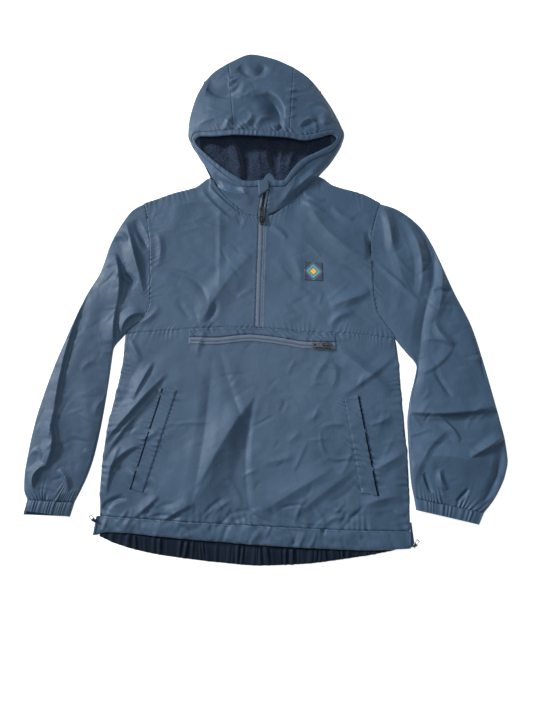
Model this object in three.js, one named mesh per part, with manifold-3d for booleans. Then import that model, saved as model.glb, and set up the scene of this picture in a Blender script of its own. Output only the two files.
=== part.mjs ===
// A child's anorak pullover, laid out flat on its back with the hood above the neck.
// Millimetres. +Z is up from the surface it lies on, +Y runs from the hem to the hood,
// and +X is the wearer's left. "_r" and "_l" are the wearer's right and left.
// The bottom layer (back, hood_back) lies on the surface, and the top layer lies on it.
import * as THREE from "three";
import { mergeVertices } from "three/addons/utils/BufferGeometryUtils.js";
import Module from "manifold-3d";

const wasm = await Module();
wasm.setup();

// Driving dimensions
const CLOTH = 3; // shell cloth with its fleece lining, as one wall
const SEAM = 0.3; // left open between two pieces at a seam or a fold
const EDGE = 2 * CLOTH + SEAM; // height of the garment's edges, where two layers meet
const LOFT = 3.4; // how far the middle of the top layer stands above its edges
const MOVED_OUT = 0.6; // between a panel and what lies on it
const CASING = 10; // width of the elastic casing round the hood's mouth
const ZIP_WIDTH = 11.4; // what shows of each zip, coil and tape
const BACK_HEM = 24; // height of the gathered hem at the back
const BACK_HEM_GATHERS = 30;
const CUFF_GATHERS = 11; // on the side of each cuff that shows
const HOOD_GATHERS = 9; // along the forehead
const HOOD_SIDE_STEPS = 24; // sections of each of the hood's side panels
const CENTRE = [0.5, 112]; // the middle of the laid-out garment, which becomes the origin

const UNDERARM_R = 36;
const UNDERARM_L = 27;
const SHOULDER_Y = 262;
const COLLAR_TOP = 298;
const COLLAR_HEIGHT = 20; // how high the collar's top edge stands off the surface
const ZIP_AT_NECK = -8; // x of the half zip where the neck's seams meet it
const ZIP_AT_CHEST = -13; // and at its lower end
const NECK_R = -97; // x of the neck's two corners
const NECK_L = 90;
const POCKET_R = -126; // x of the chest pocket's two ends
const POCKET_L = 112;

// Sides of the body from the hem to the underarm, and on along the armhole to the shoulder
const SIDE_R = [
  { y: -284, x: -261 },
  { y: -250, x: -257 },
  { y: -210, x: -259 },
  { y: -167, x: -257 },
  { y: -124, x: -253 },
  { y: -80, x: -245 },
  { y: -50, x: -239 },
  { y: -12, x: -233 },
  { y: 36, x: -229 },
  { y: 60, x: -204 },
  { y: 83, x: -192 },
  { y: 166, x: -194 },
  { y: 244, x: -204 },
  { y: 262, x: -209 },
];
const SIDE_L = [
  { y: -302, x: 220 },
  { y: -250, x: 221 },
  { y: -190, x: 222 },
  { y: -136, x: 220 },
  { y: -80, x: 217 },
  { y: -12, x: 214 },
  { y: 27, x: 210 },
  { y: 51, x: 195 },
  { y: 77, x: 180 },
  { y: 126, x: 176 },
  { y: 187, x: 175 },
  { y: 240, x: 186 },
  { y: 262, x: 194 },
];
// Seams and edges that run across the garment
const CHEST_SEAM = [
  { x: -229, y: 36 },
  { x: -153, y: 40 },
  { x: -124, y: 43 },
  { x: -60, y: 45 },
  { x: -14, y: 45 },
  { x: 22, y: 42 },
  { x: 72, y: 37 },
  { x: 120, y: 36 },
  { x: 160, y: 33 },
  { x: 210, y: 27 },
];
const SHOULDER_R = [
  { x: -209, y: 262 },
  { x: -161, y: 280 },
  { x: -121, y: 292 },
  { x: -97, y: 308 },
  { x: -86, y: 293 },
  { x: -72, y: 275 },
  { x: -57, y: 260.5 },
  { x: -42, y: 247.5 },
  { x: -25, y: 239.5 },
  { x: -8, y: 238 },
];
const SHOULDER_L = [
  { x: -8, y: 238 },
  { x: 9, y: 240 },
  { x: 25, y: 250 },
  { x: 43, y: 264 },
  { x: 63, y: 283 },
  { x: 78, y: 297 },
  { x: 90, y: 311 },
  { x: 114, y: 295 },
  { x: 165, y: 279 },
  { x: 194, y: 262 },
];
const BACK_NECK = [
  { x: -97, y: 310 },
  { x: -50, y: 301 },
  { x: 0, y: 298 },
  { x: 50, y: 302 },
  { x: 90, y: 312 },
];
const FRONT_HEM_SEAM = [
  { x: -257, y: -251 },
  { x: -149, y: -258 },
  { x: -23, y: -265 },
  { x: 129, y: -272 },
  { x: 221, y: -274 },
];
const FRONT_HEM_EDGE = [
  { x: -261, y: -280 },
  { x: -245, y: -276 },
  { x: -121, y: -286 },
  { x: 50, y: -298 },
  { x: 156, y: -302 },
  { x: 220, y: -300 },
];
const BACK_HEM_EDGE = [
  { x: -256, y: -282 },
  { x: -231, y: -293 },
  { x: -176, y: -307 },
  { x: -121, y: -315 },
  { x: -66, y: -321 },
  { x: -12, y: -325 },
  { x: 51, y: -323 },
  { x: 129, y: -314 },
  { x: 184, y: -305 },
  { x: 221, y: -296 },
];
// Middle lines of the half zip and of the chest pocket's zip
const FRONT_ZIP = [
  { y: 44, x: -13 },
  { y: 135, x: -10.5 },
  { y: 222, x: -8 },
  { y: 240, x: -8 },
  { y: 270, x: -4 },
  { y: 300, x: 1 },
];
const POCKET_ZIP = [
  { x: -126, y: 23 },
  { x: -86, y: 22 },
  { x: -27, y: 27 },
  { x: 6, y: 24 },
  { x: 38, y: 19 },
  { x: 64, y: 15 },
  { x: 112, y: 14 },
];
// Cross-sections of the sleeves from the armhole to the cuff: outer edge, inner edge,
// how far the section still follows the armhole's curve, and its loft
const SLEEVE_R = [
  { ax: -209, ay: 262, bx: -229.5, by: 36, bulge: 1, loft: 3.4 },
  { ax: -227, ay: 251, bx: -233, by: 32, bulge: 0.8, loft: 3.4 },
  { ax: -246, ay: 224, bx: -238, by: 26, bulge: 0.55, loft: 3.4 },
  { ax: -262, ay: 190, bx: -244, by: 19, bulge: 0.3, loft: 3.5 },
  { ax: -276, ay: 142, bx: -249, by: 9, bulge: 0.12, loft: 3.5 },
  { ax: -298, ay: 100, bx: -251, by: -12, bulge: 0, loft: 3.5 },
  { ax: -322, ay: 38, bx: -254, by: -46, bulge: 0, loft: 3.5 },
  { ax: -341, ay: -12, bx: -258, by: -82, bulge: 0, loft: 3.5 },
  { ax: -356, ay: -62, bx: -262, by: -112, bulge: 0, loft: 3.5 },
  { ax: -367, ay: -106, bx: -266, by: -137, bulge: 0, loft: 3.5 },
  { ax: -374, ay: -150, bx: -271, by: -163, bulge: 0, loft: 3.5 },
  { ax: -378, ay: -190, bx: -279, by: -190, bulge: 0, loft: 3.5 },
  { ax: -377, ay: -212, bx: -288, by: -212, bulge: 0, loft: 3.5 },
  { ax: -371, ay: -227, bx: -297, by: -231, bulge: 0, loft: 3.0 },
];
const SLEEVE_L = [
  { ax: 194, ay: 262, bx: 210.5, by: 27, bulge: 1, loft: 3.4 },
  { ax: 216, ay: 255, bx: 214, by: 22, bulge: 0.85, loft: 3.4 },
  { ax: 240, ay: 240, bx: 218, by: 16, bulge: 0.65, loft: 3.4 },
  { ax: 264, ay: 215, bx: 224, by: 8, bulge: 0.45, loft: 3.5 },
  { ax: 279, ay: 187, bx: 231, by: -1, bulge: 0.28, loft: 3.5 },
  { ax: 292, ay: 155, bx: 238, by: -9, bulge: 0.12, loft: 3.5 },
  { ax: 310, ay: 107, bx: 242.5, by: -20, bulge: 0, loft: 3.5 },
  { ax: 336, ay: 47, bx: 237.5, by: -42, bulge: 0, loft: 3.5 },
  { ax: 350, ay: -7, bx: 231.5, by: -62, bulge: 0, loft: 3.5 },
  { ax: 362, ay: -62, bx: 226.5, by: -86, bulge: 0, loft: 3.5 },
  { ax: 371, ay: -106, bx: 223.5, by: -112, bulge: 0, loft: 3.5 },
  { ax: 377, ay: -140, bx: 223.5, by: -136, bulge: 0, loft: 3.5 },
  { ax: 378.5, ay: -166, bx: 224, by: -160, bulge: 0, loft: 3.5 },
  { ax: 373, ay: -190, bx: 224.5, by: -182, bulge: 0, loft: 3.5 },
  { ax: 362, ay: -213, bx: 225.5, by: -202, bulge: 0, loft: 3.5 },
  { ax: 350, ay: -231, bx: 227, by: -214, bulge: 0, loft: 3.4 },
  { ax: 336, ay: -247, bx: 229, by: -225, bulge: 0, loft: 3.0 },
];
// Cuffs: the two ends of the flattened tube at the seam and at the open end.
// The top layer of the right cuff is drawn back on its outer side, so its mouth shows.
const CUFF_R = {
  ax: -371, ay: -227, bx: -297, by: -231, cx: -375, cy: -250, dx: -303, dy: -253, gape: 6,
};
const CUFF_L = {
  ax: 336, ay: -247, bx: 229, by: -225, cx: 327, cy: -265, dx: 231, dy: -243, gape: 1,
};
// Ruled sections of the hood's top layer, from the zip round the mouth: the mouth's edge with
// its height, and the neck seam or outline with its height
const HOOD_SIDE_R = [
  { mx: -5.3, my: 298, mz: 20, ox: -14.5, oy: 241, oz: 9.7 },
  { mx: -33, my: 296, mz: 20, ox: -31, oy: 244.5, oz: 9.7 },
  { mx: -57, my: 308, mz: 20, ox: -57, oy: 263.5, oz: 9.7 },
  { mx: -88, my: 333, mz: 18, ox: -83, oy: 293, oz: 9.0 },
  { mx: -108, my: 352, mz: 16, ox: -101, oy: 324, oz: 6.3 },
  { mx: -119, my: 364, mz: 14, ox: -119, oy: 352, oz: 6.3 },
  { mx: -123, my: 373, mz: 13, ox: -137, oy: 391, oz: 6.3 },
  { mx: -114, my: 381, mz: 15, ox: -136, oy: 414, oz: 6.3 },
  { mx: -90, my: 377, mz: 22, ox: -125, oy: 462, oz: 6.3 },
  { mx: -70, my: 375.5, mz: 27, ox: -98, oy: 509, oz: 6.3 },
  { mx: -55, my: 375, mz: 30, ox: -68, oy: 532, oz: 6.3 },
];
const HOOD_CENTRE = [
  { mx: -55, my: 375, mz: 30, ox: -68, oy: 532, oz: 6.3 },
  { mx: -24, my: 372.5, mz: 32, ox: -28, oy: 549, oz: 6.3 },
  { mx: 8, my: 370, mz: 33, ox: 10, oy: 541, oz: 6.3 },
  { mx: 38, my: 369, mz: 31, ox: 49, oy: 523, oz: 6.3 },
];
const HOOD_SIDE_L = [
  { mx: 38, my: 369, mz: 31, ox: 49, oy: 523, oz: 6.3 },
  { mx: 62, my: 366, mz: 28, ox: 76, oy: 501, oz: 6.3 },
  { mx: 88, my: 373, mz: 24, ox: 106, oy: 457, oz: 6.3 },
  { mx: 111, my: 383, mz: 18, ox: 128, oy: 413, oz: 6.3 },
  { mx: 121, my: 377, mz: 15, ox: 136, oy: 391, oz: 6.3 },
  { mx: 115, my: 368, mz: 15, ox: 129, oy: 368, oz: 6.3 },
  { mx: 92, my: 354, mz: 17, ox: 113, oy: 341, oz: 6.3 },
  { mx: 62, my: 337, mz: 19, ox: 92, oy: 316, oz: 7.0 },
  { mx: 44, my: 318, mz: 20, ox: 66, oy: 289, oz: 9.7 },
  { mx: 27, my: 297, mz: 20, ox: 32, oy: 258.5, oz: 9.7 },
  { mx: 7.3, my: 298, mz: 20, ox: -1.1, oy: 241, oz: 9.7 },
];
// Outline of the hood's bottom layer
const HOOD_LEFT_EDGE = [
  [-97, 311], [-110, 338], [-131, 372], [-137, 391], [-134, 424], [-126, 459], [-111, 494],
];
const HOOD_TOP_EDGE = [
  [-111, 494], [-95, 512], [-68, 532], [-28, 549], [10, 541], [49, 523], [76, 501], [96, 475],
];
const HOOD_RIGHT_EDGE = [
  [90, 313], [113, 340], [131, 372], [136, 391], [130, 410], [116, 441], [96, 475],
];
const LINING_LEFT = [[-66, 306], [-104, 346], [-114, 380], [-96, 430]];
const LINING_RIGHT = [[58, 306], [96, 346], [110, 380], [94, 430]];
const LINING_BOTTOM = [[-66, 306], [-34, 291], [0, 286], [30, 291], [58, 306]];
const LINING_TOP = [[-96, 430], [-30, 440], [34, 440], [94, 430]];
// Largest folds: where each starts and ends, how far it bows to its left, half width, height
const FOLDS = [
  { x: -128, y: -253, toX: -26, toY: -66, bow: 8, width: 15, height: 6 },
  { x: -70, y: -252, toX: -24, toY: -70, bow: -10, width: 12, height: -3 },
  { x: -28, y: -256, toX: -30, toY: -120, bow: 6, width: 9, height: 3.5 },
  { x: -226, y: -100, toX: -150, toY: 0, bow: 6, width: 11, height: 5 },
  { x: -214, y: -66, toX: -182, toY: 10, bow: -3, width: 9, height: -3 },
  { x: -250, y: -240, toX: -214, toY: -226, bow: 6, width: 9, height: 3.5 },
  { x: -160, y: -246, toX: -116, toY: -214, bow: -4, width: 10, height: 4 },
  { x: -92, y: 4, toX: -116, toY: -190, bow: -5, width: 10, height: 3 },
  { x: -66, y: 6, toX: -50, toY: -100, bow: 5, width: 10, height: 2.5 },
  { x: 20, y: -246, toX: 120, toY: -196, bow: 10, width: 18, height: 5 },
  { x: 40, y: -70, toX: 112, toY: -150, bow: -12, width: 17, height: 3.5 },
  { x: 118, y: 6, toX: 188, toY: -60, bow: 8, width: 13, height: 4 },
  { x: 150, y: -232, toX: 212, toY: -190, bow: -6, width: 12, height: 4 },
  { x: -106, y: 56, toX: -30, toY: 172, bow: 12, width: 11, height: 5 },
  { x: -88, y: 52, toX: -20, toY: 150, bow: -6, width: 10, height: -3 },
  { x: -168, y: 134, toX: -96, toY: 78, bow: 14, width: 12, height: 3.5 },
  { x: -150, y: 250, toX: -186, toY: 190, bow: 5, width: 12, height: 4 },
  { x: 70, y: 244, toX: 166, toY: 176, bow: 9, width: 12, height: 4.5 },
  { x: 8, y: 208, toX: 60, toY: 150, bow: 8, width: 11, height: 3 },
  { x: 100, y: 76, toX: 166, toY: 106, bow: -4, width: 10, height: 3.5 },
  { x: -215, y: 210, toX: -222, toY: 120, bow: -8, width: 11, height: 5 },
  { x: -232, y: 96, toX: -212, toY: 60, bow: 4, width: 9, height: 4 },
  { x: -262, y: 160, toX: -318, toY: -20, bow: 8, width: 13, height: 4 },
  { x: -312, y: -10, toX: -334, toY: -132, bow: -8, width: 13, height: 7 },
  { x: -334, y: -132, toX: -364, toY: -212, bow: 6, width: 10, height: 6 },
  { x: -290, y: -20, toX: -282, toY: -150, bow: 6, width: 14, height: 3 },
  { x: 204, y: 240, toX: 240, toY: 130, bow: 10, width: 13, height: 5 },
  { x: 270, y: 178, toX: 246, toY: 4, bow: 7, width: 12, height: 6.5 },
  { x: 240, y: -84, toX: 350, toY: -82, bow: 6, width: 9, height: 6 },
  { x: 238, y: -104, toX: 356, toY: -112, bow: -4, width: 9, height: -3 },
  { x: 268, y: -94, toX: 304, toY: -136, bow: 8, width: 8, height: 4 },
  { x: 322, y: -152, toX: 370, toY: -128, bow: -4, width: 10, height: 5 },
  { x: 244, y: -190, toX: 330, toY: -164, bow: 14, width: 16, height: 4 },
  { x: 252, y: -170, toX: 272, toY: -218, bow: 2, width: 7, height: 4 },
];
// Folds of the hood, in the same columns
const HOOD_FOLDS = [
  { x: -22, y: 470, toX: 30, toY: 396, bow: 6, width: 15, height: -9 },
  { x: -100, y: 476, toX: -48, toY: 474, bow: -8, width: 15, height: -6 },
  { x: -52, y: 520, toX: 2, toY: 516, bow: -8, width: 13, height: -5 },
  { x: 0, y: 480, toX: 30, toY: 440, bow: 4, width: 12, height: 4 },
  { x: 66, y: 460, toX: 96, toY: 420, bow: 4, width: 16, height: 4 },
  { x: -110, y: 410, toX: -60, toY: 398, bow: 6, width: 11, height: 4 },
  { x: -94, y: 318, toX: -36, toY: 268, bow: -5, width: 8, height: 3 },
  { x: 84, y: 322, toX: 24, toY: 262, bow: 5, width: 8, height: 3 },
];
const LINING_FOLDS = [
  { x: -34, y: 292, toX: -62, toY: 400, bow: 10, width: 7, height: 4 },
  { x: 18, y: 306, toX: -2, toY: 400, bow: 8, width: 7, height: 4 },
  { x: 58, y: 330, toX: 74, toY: 400, bow: -6, width: 8, height: 3 },
];

const { lerp, clamp } = THREE.MathUtils;

// A smooth line through a table, with no overshoot, read at one value of its key column.
function read(rows, key, column, at) {
  const last = rows.length - 1;
  let i = rows.findIndex((row, n) => n < last && (rows[n + 1][key] - at) * (row[key] - at) <= 0);
  if (i < 0) i = Math.abs(at - rows[0][key]) < Math.abs(at - rows[last][key]) ? 0 : last - 1;
  const slope = (n) =>
    (rows[n + 1][column] - rows[n][column]) / (rows[n + 1][key] - rows[n][key]);
  const tangent = (n) => {
    if (n === 0) return slope(0);
    if (n === last) return slope(last - 1);
    const before = slope(n - 1);
    const after = slope(n);
    return before * after <= 0 ? 0 : (2 * before * after) / (before + after);
  };
  const span = rows[i + 1][key] - rows[i][key];
  const t = clamp((at - rows[i][key]) / span, 0, 1);
  const t2 = t * t;
  const t3 = t2 * t;
  return (
    (2 * t3 - 3 * t2 + 1) * rows[i][column] +
    (t3 - 2 * t2 + t) * span * tangent(i) +
    (3 * t2 - 2 * t3) * rows[i + 1][column] +
    (t3 - t2) * span * tangent(i + 1)
  );
}

// Edges of a panel, as functions of t from 0 to 1 that give a point [x, y].
const upright = (rows, from, to, shift = 0) => (t) => {
  const y = lerp(from, to, t);
  return [read(rows, "y", "x", y) + shift, y];
};
const across = (rows, from, to, shift = 0) => (t) => {
  const x = lerp(from, to, t);
  return [x, read(rows, "x", "y", x) + shift];
};
const through = (points) => {
  const rows = points.map(([x, y], n) => ({ n, x, y }));
  return (t) => {
    const n = t * (rows.length - 1);
    return [read(rows, "n", "x", n), read(rows, "n", "y", n)];
  };
};
const straight = (from, to) => (t) => [lerp(from[0], to[0], t), lerp(from[1], to[1], t)];

// The panel between four edges: bottom and top run along u, left and right along v.
function between({ bottom, top, left, right }) {
  return (u, v) =>
    [0, 1].map(
      (k) =>
        lerp(bottom(u)[k], top(u)[k], v) +
        lerp(left(v)[k], right(v)[k], u) -
        lerp(lerp(bottom(0)[k], bottom(1)[k], u), lerp(top(0)[k], top(1)[k], u), v),
    );
}

// The panel between four corners, two at its foot and two at its head.
function fourSided(foot, head) {
  return between({
    bottom: straight(...foot),
    top: straight(...head),
    left: straight(foot[0], head[0]),
    right: straight(foot[1], head[1]),
  });
}

// How high the folds of a table lift a point of the cloth.
function foldsAt(folds, x, y) {
  let lift = 0;
  for (const fold of folds) {
    const dx = fold.toX - fold.x;
    const dy = fold.toY - fold.y;
    const length = Math.hypot(dx, dy);
    const along = ((x - fold.x) * dx + (y - fold.y) * dy) / length / length;
    if (along < -0.2 || along > 1.2) continue;
    const aside = ((y - fold.y) * dx - (x - fold.x) * dy) / length;
    const bowed = aside - fold.bow * 4 * along * (1 - along);
    const taper = Math.sin(Math.PI * clamp((along + 0.15) / 1.3, 0, 1));
    lift += fold.height * taper * Math.exp(-((bowed / fold.width) ** 2));
  }
  return lift;
}

const dome = (s) => 1 - (2 * clamp(s, 0, 1) - 1) ** 4;

// Height of the body's top layer over a point of the surface.
function bodyTop(x, y) {
  const left = read(SIDE_R, "y", "x", y);
  const right = read(SIDE_L, "y", "x", y);
  const s = clamp((x - left) / (right - left), 0, 1);
  const underarm = s < 0.5 ? UNDERARM_R : UNDERARM_L;
  const armhole = y > underarm ? dome((y - underarm) / (SHOULDER_Y - underarm)) : 0;
  const shoulders = x < ZIP_AT_NECK ? SHOULDER_R : SHOULDER_L;
  const nearNeck = x > NECK_R && x < NECK_L;
  const below = nearNeck ? 60 : read(shoulders, "x", "y", x) - y;
  const fade = clamp(below / 40, 0, 1);
  const rounded = fade * (2 - fade);
  const away = Math.min(x - left, right - x);
  const inside = clamp(away / 12, 0, 1);
  const flat = Math.max(armhole, inside * (2 - inside));
  const base = LOFT * lerp(armhole, 1, dome(s)) * rounded;
  return EDGE + Math.max(0, base + foldsAt(FOLDS, x, y) * flat * rounded);
}

// Height of the zip's line, on the body and then up the collar.
function zipLine(x, y) {
  const neck = read(SHOULDER_R, "x", "y", ZIP_AT_NECK) + 2;
  if (y <= neck) return bodyTop(x, y);
  const u = clamp((COLLAR_TOP - y) / (COLLAR_TOP - neck), 0, 1);
  return EDGE + LOFT + (COLLAR_HEIGHT - EDGE - LOFT) * (1 - u ** 1.6);
}

// A wall of cloth between two grids of points, outer[row][column] and inner[row][column],
// closed along its rims. A tube's last column joins its first one.
function wall(outer, inner, tube = false) {
  const rows = outer.length;
  const columns = outer[0].length;
  const positions = [...outer.flat(), ...inner.flat()].flat();
  const index = [];
  const quad = (a, b, c, d) => index.push(a, b, c, a, c, d);
  const out = (row, column) => row * columns + (column % columns);
  const within = (row, column) => rows * columns + out(row, column);
  const spans = tube ? columns : columns - 1;
  for (let row = 0; row < rows - 1; row++) {
    for (let column = 0; column < spans; column++) {
      quad(
        out(row, column), out(row, column + 1), out(row + 1, column + 1), out(row + 1, column),
      );
      quad(
        within(row, column), within(row + 1, column),
        within(row + 1, column + 1), within(row, column + 1),
      );
    }
    if (!tube) {
      quad(out(row, 0), out(row + 1, 0), within(row + 1, 0), within(row, 0));
      quad(
        out(row, columns - 1), within(row, columns - 1),
        within(row + 1, columns - 1), out(row + 1, columns - 1),
      );
    }
  }
  for (let column = 0; column < spans; column++) {
    quad(out(0, column), within(0, column), within(0, column + 1), out(0, column + 1));
    quad(
      out(rows - 1, column), out(rows - 1, column + 1),
      within(rows - 1, column + 1), within(rows - 1, column),
    );
  }
  const geometry = new THREE.BufferGeometry();
  geometry.setAttribute("position", new THREE.Float32BufferAttribute(positions, 3));
  geometry.setIndex(index);
  if (signedVolume(geometry) < 0) {
    geometry.setIndex(index.reverse());
  }
  geometry.computeVertexNormals();
  return geometry;
}

function signedVolume(geometry) {
  const corners = ["a", "b", "c"].map(() => new THREE.Vector3());
  const { position } = geometry.attributes;
  let sum = 0;
  for (let i = 0; i < geometry.index.count; i += 3) {
    corners.forEach((corner, k) => corner.fromBufferAttribute(position, geometry.index.getX(i + k)));
    sum += corners[0].dot(corners[1].clone().cross(corners[2])) / 6;
  }
  return sum;
}

// A panel of cloth: its plan is drawn in by half a seam all round, top(x, y) is its upper face,
// and it is as thick as stated, or reaches down to bottom(x, y).
function panel({ plan, columns, rows, top, thickness = CLOTH, bottom, inset = SEAM / 2 }) {
  const grid = [];
  for (let row = 0; row <= rows; row++) {
    grid.push([]);
    for (let column = 0; column <= columns; column++) {
      const u = column / columns;
      const v = row / rows;
      const point = plan(u, v);
      const towards = [
        [column === 0, plan(u + 0.5 / columns, v)],
        [column === columns, plan(u - 0.5 / columns, v)],
        [row === 0, plan(u, v + 0.5 / rows)],
        [row === rows, plan(u, v - 0.5 / rows)],
      ];
      const moved = [...point];
      for (const [applies, other] of towards) {
        if (!applies) continue;
        const far = Math.hypot(other[0] - point[0], other[1] - point[1]);
        moved[0] += (inset * (other[0] - point[0])) / far;
        moved[1] += (inset * (other[1] - point[1])) / far;
      }
      grid[row].push([...moved, u, v]);
    }
  }
  const outer = grid.map((line) => line.map(([x, y, u, v]) => [x, y, top(x, y, u, v)]));
  const inner = grid.map((line) =>
    line.map(([x, y, u, v]) => [x, y, bottom ? bottom(x, y, u, v) : top(x, y, u, v) - thickness]),
  );
  return wall(outer, inner);
}

// Flattened tubes: one ring round the top layer, a folded edge, the bottom layer and the other edge.
const FOLD_RADIUS = EDGE / 2;
const FOLD_STEPS = 3;
const BOTTOM_STEPS = 7;

function ringOf(topSteps) {
  const ring = [];
  for (let n = 0; n < topSteps; n++) ring.push({ part: "top", s: n / topSteps });
  for (let n = 0; n < FOLD_STEPS; n++) ring.push({ part: "fold", s: 1, turn: n / FOLD_STEPS });
  for (let n = 0; n < BOTTOM_STEPS; n++) ring.push({ part: "bottom", s: 1 - n / BOTTOM_STEPS });
  for (let n = 0; n < FOLD_STEPS; n++) ring.push({ part: "fold", s: 0, turn: 1 - n / FOLD_STEPS });
  return ring;
}

// One point of a flattened tube. line(s) gives the plan of the section from edge a to edge b,
// and lift(s, x, y) how far the top layer stands above the height of the edges.
function ringPoint({ part, s, turn }, line, lift, inwards) {
  const ends = [line(0), line(1)];
  const width = Math.hypot(ends[1][0] - ends[0][0], ends[1][1] - ends[0][1]);
  const margin = FOLD_RADIUS / width;
  const [x, y] = line(clamp(s, margin, 1 - margin));
  if (part === "bottom") return [x, y, inwards];
  if (part === "top") return [x, y, EDGE + lift(s, x, y) - inwards];
  const end = ends[s];
  const far = Math.hypot(end[0] - x, end[1] - y);
  const angle = Math.PI * (0.5 - turn);
  const reach = ((FOLD_RADIUS - inwards) * Math.cos(angle)) / far;
  return [
    x + (end[0] - x) * reach,
    y + (end[1] - y) * reach,
    FOLD_RADIUS + (FOLD_RADIUS - inwards) * Math.sin(angle),
  ];
}

// A sleeve from its table of sections; its first one follows the armhole.
function sleeve(sections, side) {
  const first = sections[0];
  const outwards = Math.sign(first.ax);
  const ring = ringOf(14);
  const offset = (s) =>
    read(side, "y", "x", lerp(first.ay, first.by, s)) - lerp(first.ax, first.bx, s);
  const loops = (inwards) =>
    sections.map(({ ax, ay, bx, by, bulge, loft }, n) => {
      const seam = n === 0 || n === sections.length - 1 ? SEAM : 0;
      const line = (s) => [
        lerp(ax, bx, s) + bulge * offset(s) + (n === 0 ? outwards * seam : 0),
        lerp(ay, by, s) + (n > 0 ? seam : 0),
      ];
      const lift = (s, x, y) => {
        const edge = clamp((s * (1 - s)) / 0.1, 0, 1);
        return Math.max(0, loft * dome(s) + foldsAt(FOLDS, x, y) * edge);
      };
      return ring.map((point) => ringPoint(point, line, lift, inwards));
    });
  return wall(loops(0), loops(CLOTH), true);
}

// A gathered cuff: the gathers are raised in the top layer's outer points.
function cuff({ ax, ay, bx, by, cx, cy, dx, dy, gape }) {
  const ring = ringOf(CUFF_GATHERS * 3);
  const loops = (inwards) =>
    [0, 0.5, 1].map((v) => {
      const line = (s) => [
        lerp(lerp(ax, cx, v), lerp(bx, dx, v), s),
        lerp(lerp(ay, cy, v), lerp(by, dy, v), s),
      ];
      const lift = (s) => {
        const wave = 0.5 - 0.5 * Math.cos(2 * Math.PI * CUFF_GATHERS * s);
        return 2.6 * dome(s) + (inwards ? 0 : 2.2 * wave * (1 - 0.45 * v));
      };
      return ring.map((point) => {
        const made = ringPoint(point, line, lift, inwards);
        const open = point.part === "top" ? gape * v * (1 - point.s) * dome(point.s) : 0;
        return [made[0], made[1] + open, made[2]];
      });
    });
  return wall(loops(0), loops(CLOTH), true);
}

// The hood's top layer between its mouth and its outline. Its inner rail starts one casing
// in from the mouth's edge, where the casing is sewn on.
function ruled(rows) {
  const numbered = rows.map((row, n) => ({ ...row, n: n / (rows.length - 1) }));
  return (v) => {
    const at = (column) => read(numbered, "n", column, v);
    const [mx, my, mz, ox, oy, oz] = ["mx", "my", "mz", "ox", "oy", "oz"].map(at);
    return { mx, my, mz, ox, oy, oz, length: Math.hypot(ox - mx, oy - my) };
  };
}

function hoodPoint(section, far) {
  const u = clamp(far / section.length, 0, 1);
  const x = lerp(section.mx, section.ox, u);
  const y = lerp(section.my, section.oy, u);
  const steady = clamp(u * 8, 0, 1) * clamp((1 - u) * 5, 0, 1);
  const rise = (section.mz - section.oz) * (1 - u ** 1.6);
  return [x, y, Math.max(section.oz + rise + foldsAt(HOOD_FOLDS, x, y) * steady, EDGE)];
}

function hoodPanel(rows, uSteps, vSteps) {
  const sectionAt = ruled(rows);
  const face = [];
  for (let row = 0; row <= vSteps; row++) {
    const inset = row === 0 || row === vSteps ? SEAM / 2 : 0;
    const section = sectionAt(row / vSteps);
    const next = sectionAt((row + (row < vSteps ? 0.5 : -0.5)) / vSteps);
    const start = Math.min(CASING + SEAM, section.length * 0.55);
    face.push([]);
    for (let column = 0; column <= uSteps; column++) {
      const far = lerp(start, section.length, column / uSteps);
      const point = hoodPoint(section, far);
      const other = hoodPoint(next, far);
      const step = Math.hypot(other[0] - point[0], other[1] - point[1]);
      const part = step > 0.01 ? inset / step : 0;
      face[row].push([lerp(point[0], other[0], part), lerp(point[1], other[1], part), point[2]]);
    }
  }
  return wall(face, face.map((line) => line.map(([x, y, z]) => [x, y, z - CLOTH])));
}

// The casing round the mouth, over all three hood panels, gathered along the forehead.
function casing() {
  const parts = [
    { rows: HOOD_SIDE_R, steps: HOOD_SIDE_STEPS, waves: 0 },
    { rows: HOOD_CENTRE, steps: HOOD_GATHERS * 4, waves: HOOD_GATHERS },
    { rows: HOOD_SIDE_L, steps: HOOD_SIDE_STEPS, waves: 0 },
  ];
  const outer = [];
  const inner = [];
  parts.forEach(({ rows, steps, waves }, n) => {
    const sectionAt = ruled(rows);
    for (let row = n === 0 ? 0 : 1; row <= steps; row++) {
      const v = row / steps;
      const section = sectionAt(v);
      const gather = waves ? 0.9 - 0.9 * Math.cos(2 * Math.PI * waves * v) : 0;
      const width = Math.min(CASING, section.length * 0.5);
      const face = [0, 0.5, 1].map((s) => {
        const [x, y, z] = hoodPoint(section, width * s);
        return [x, y, z + 0.6 + 1.2 * Math.sin(Math.PI * s)];
      });
      outer.push(face.map(([x, y, z]) => [x, y, z + gather]));
      inner.push(face.map(([x, y, z]) => [x, y, z - 4]));
    }
  });
  return wall(outer, inner);
}

// Hardware of the zips, drawn at the origin with the zip along Y
const PULL_SIZES = { slider: [10.4, 14], tab: 16.5, width: 8.6, wire: 1.8, bridge: 2.4, eye: 6 };
const RING_SIZES = { slider: [4.6, 6.4], tab: 5.5, width: 5.5, wire: 1.1, bridge: 1.3, eye: 4.2 };
const BODY_HEIGHT = 2.4;
const AXIS_HEIGHT = BODY_HEIGHT + 1.5;

function slab(shape, depth, bevel = 0.3) {
  return new THREE.ExtrudeGeometry(shape, {
    depth: depth - 2 * bevel,
    bevelEnabled: true,
    bevelThickness: bevel,
    bevelSize: bevel,
    bevelOffset: -bevel,
    bevelSegments: 1,
    curveSegments: 3,
  }).translate(0, 0, bevel);
}

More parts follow.
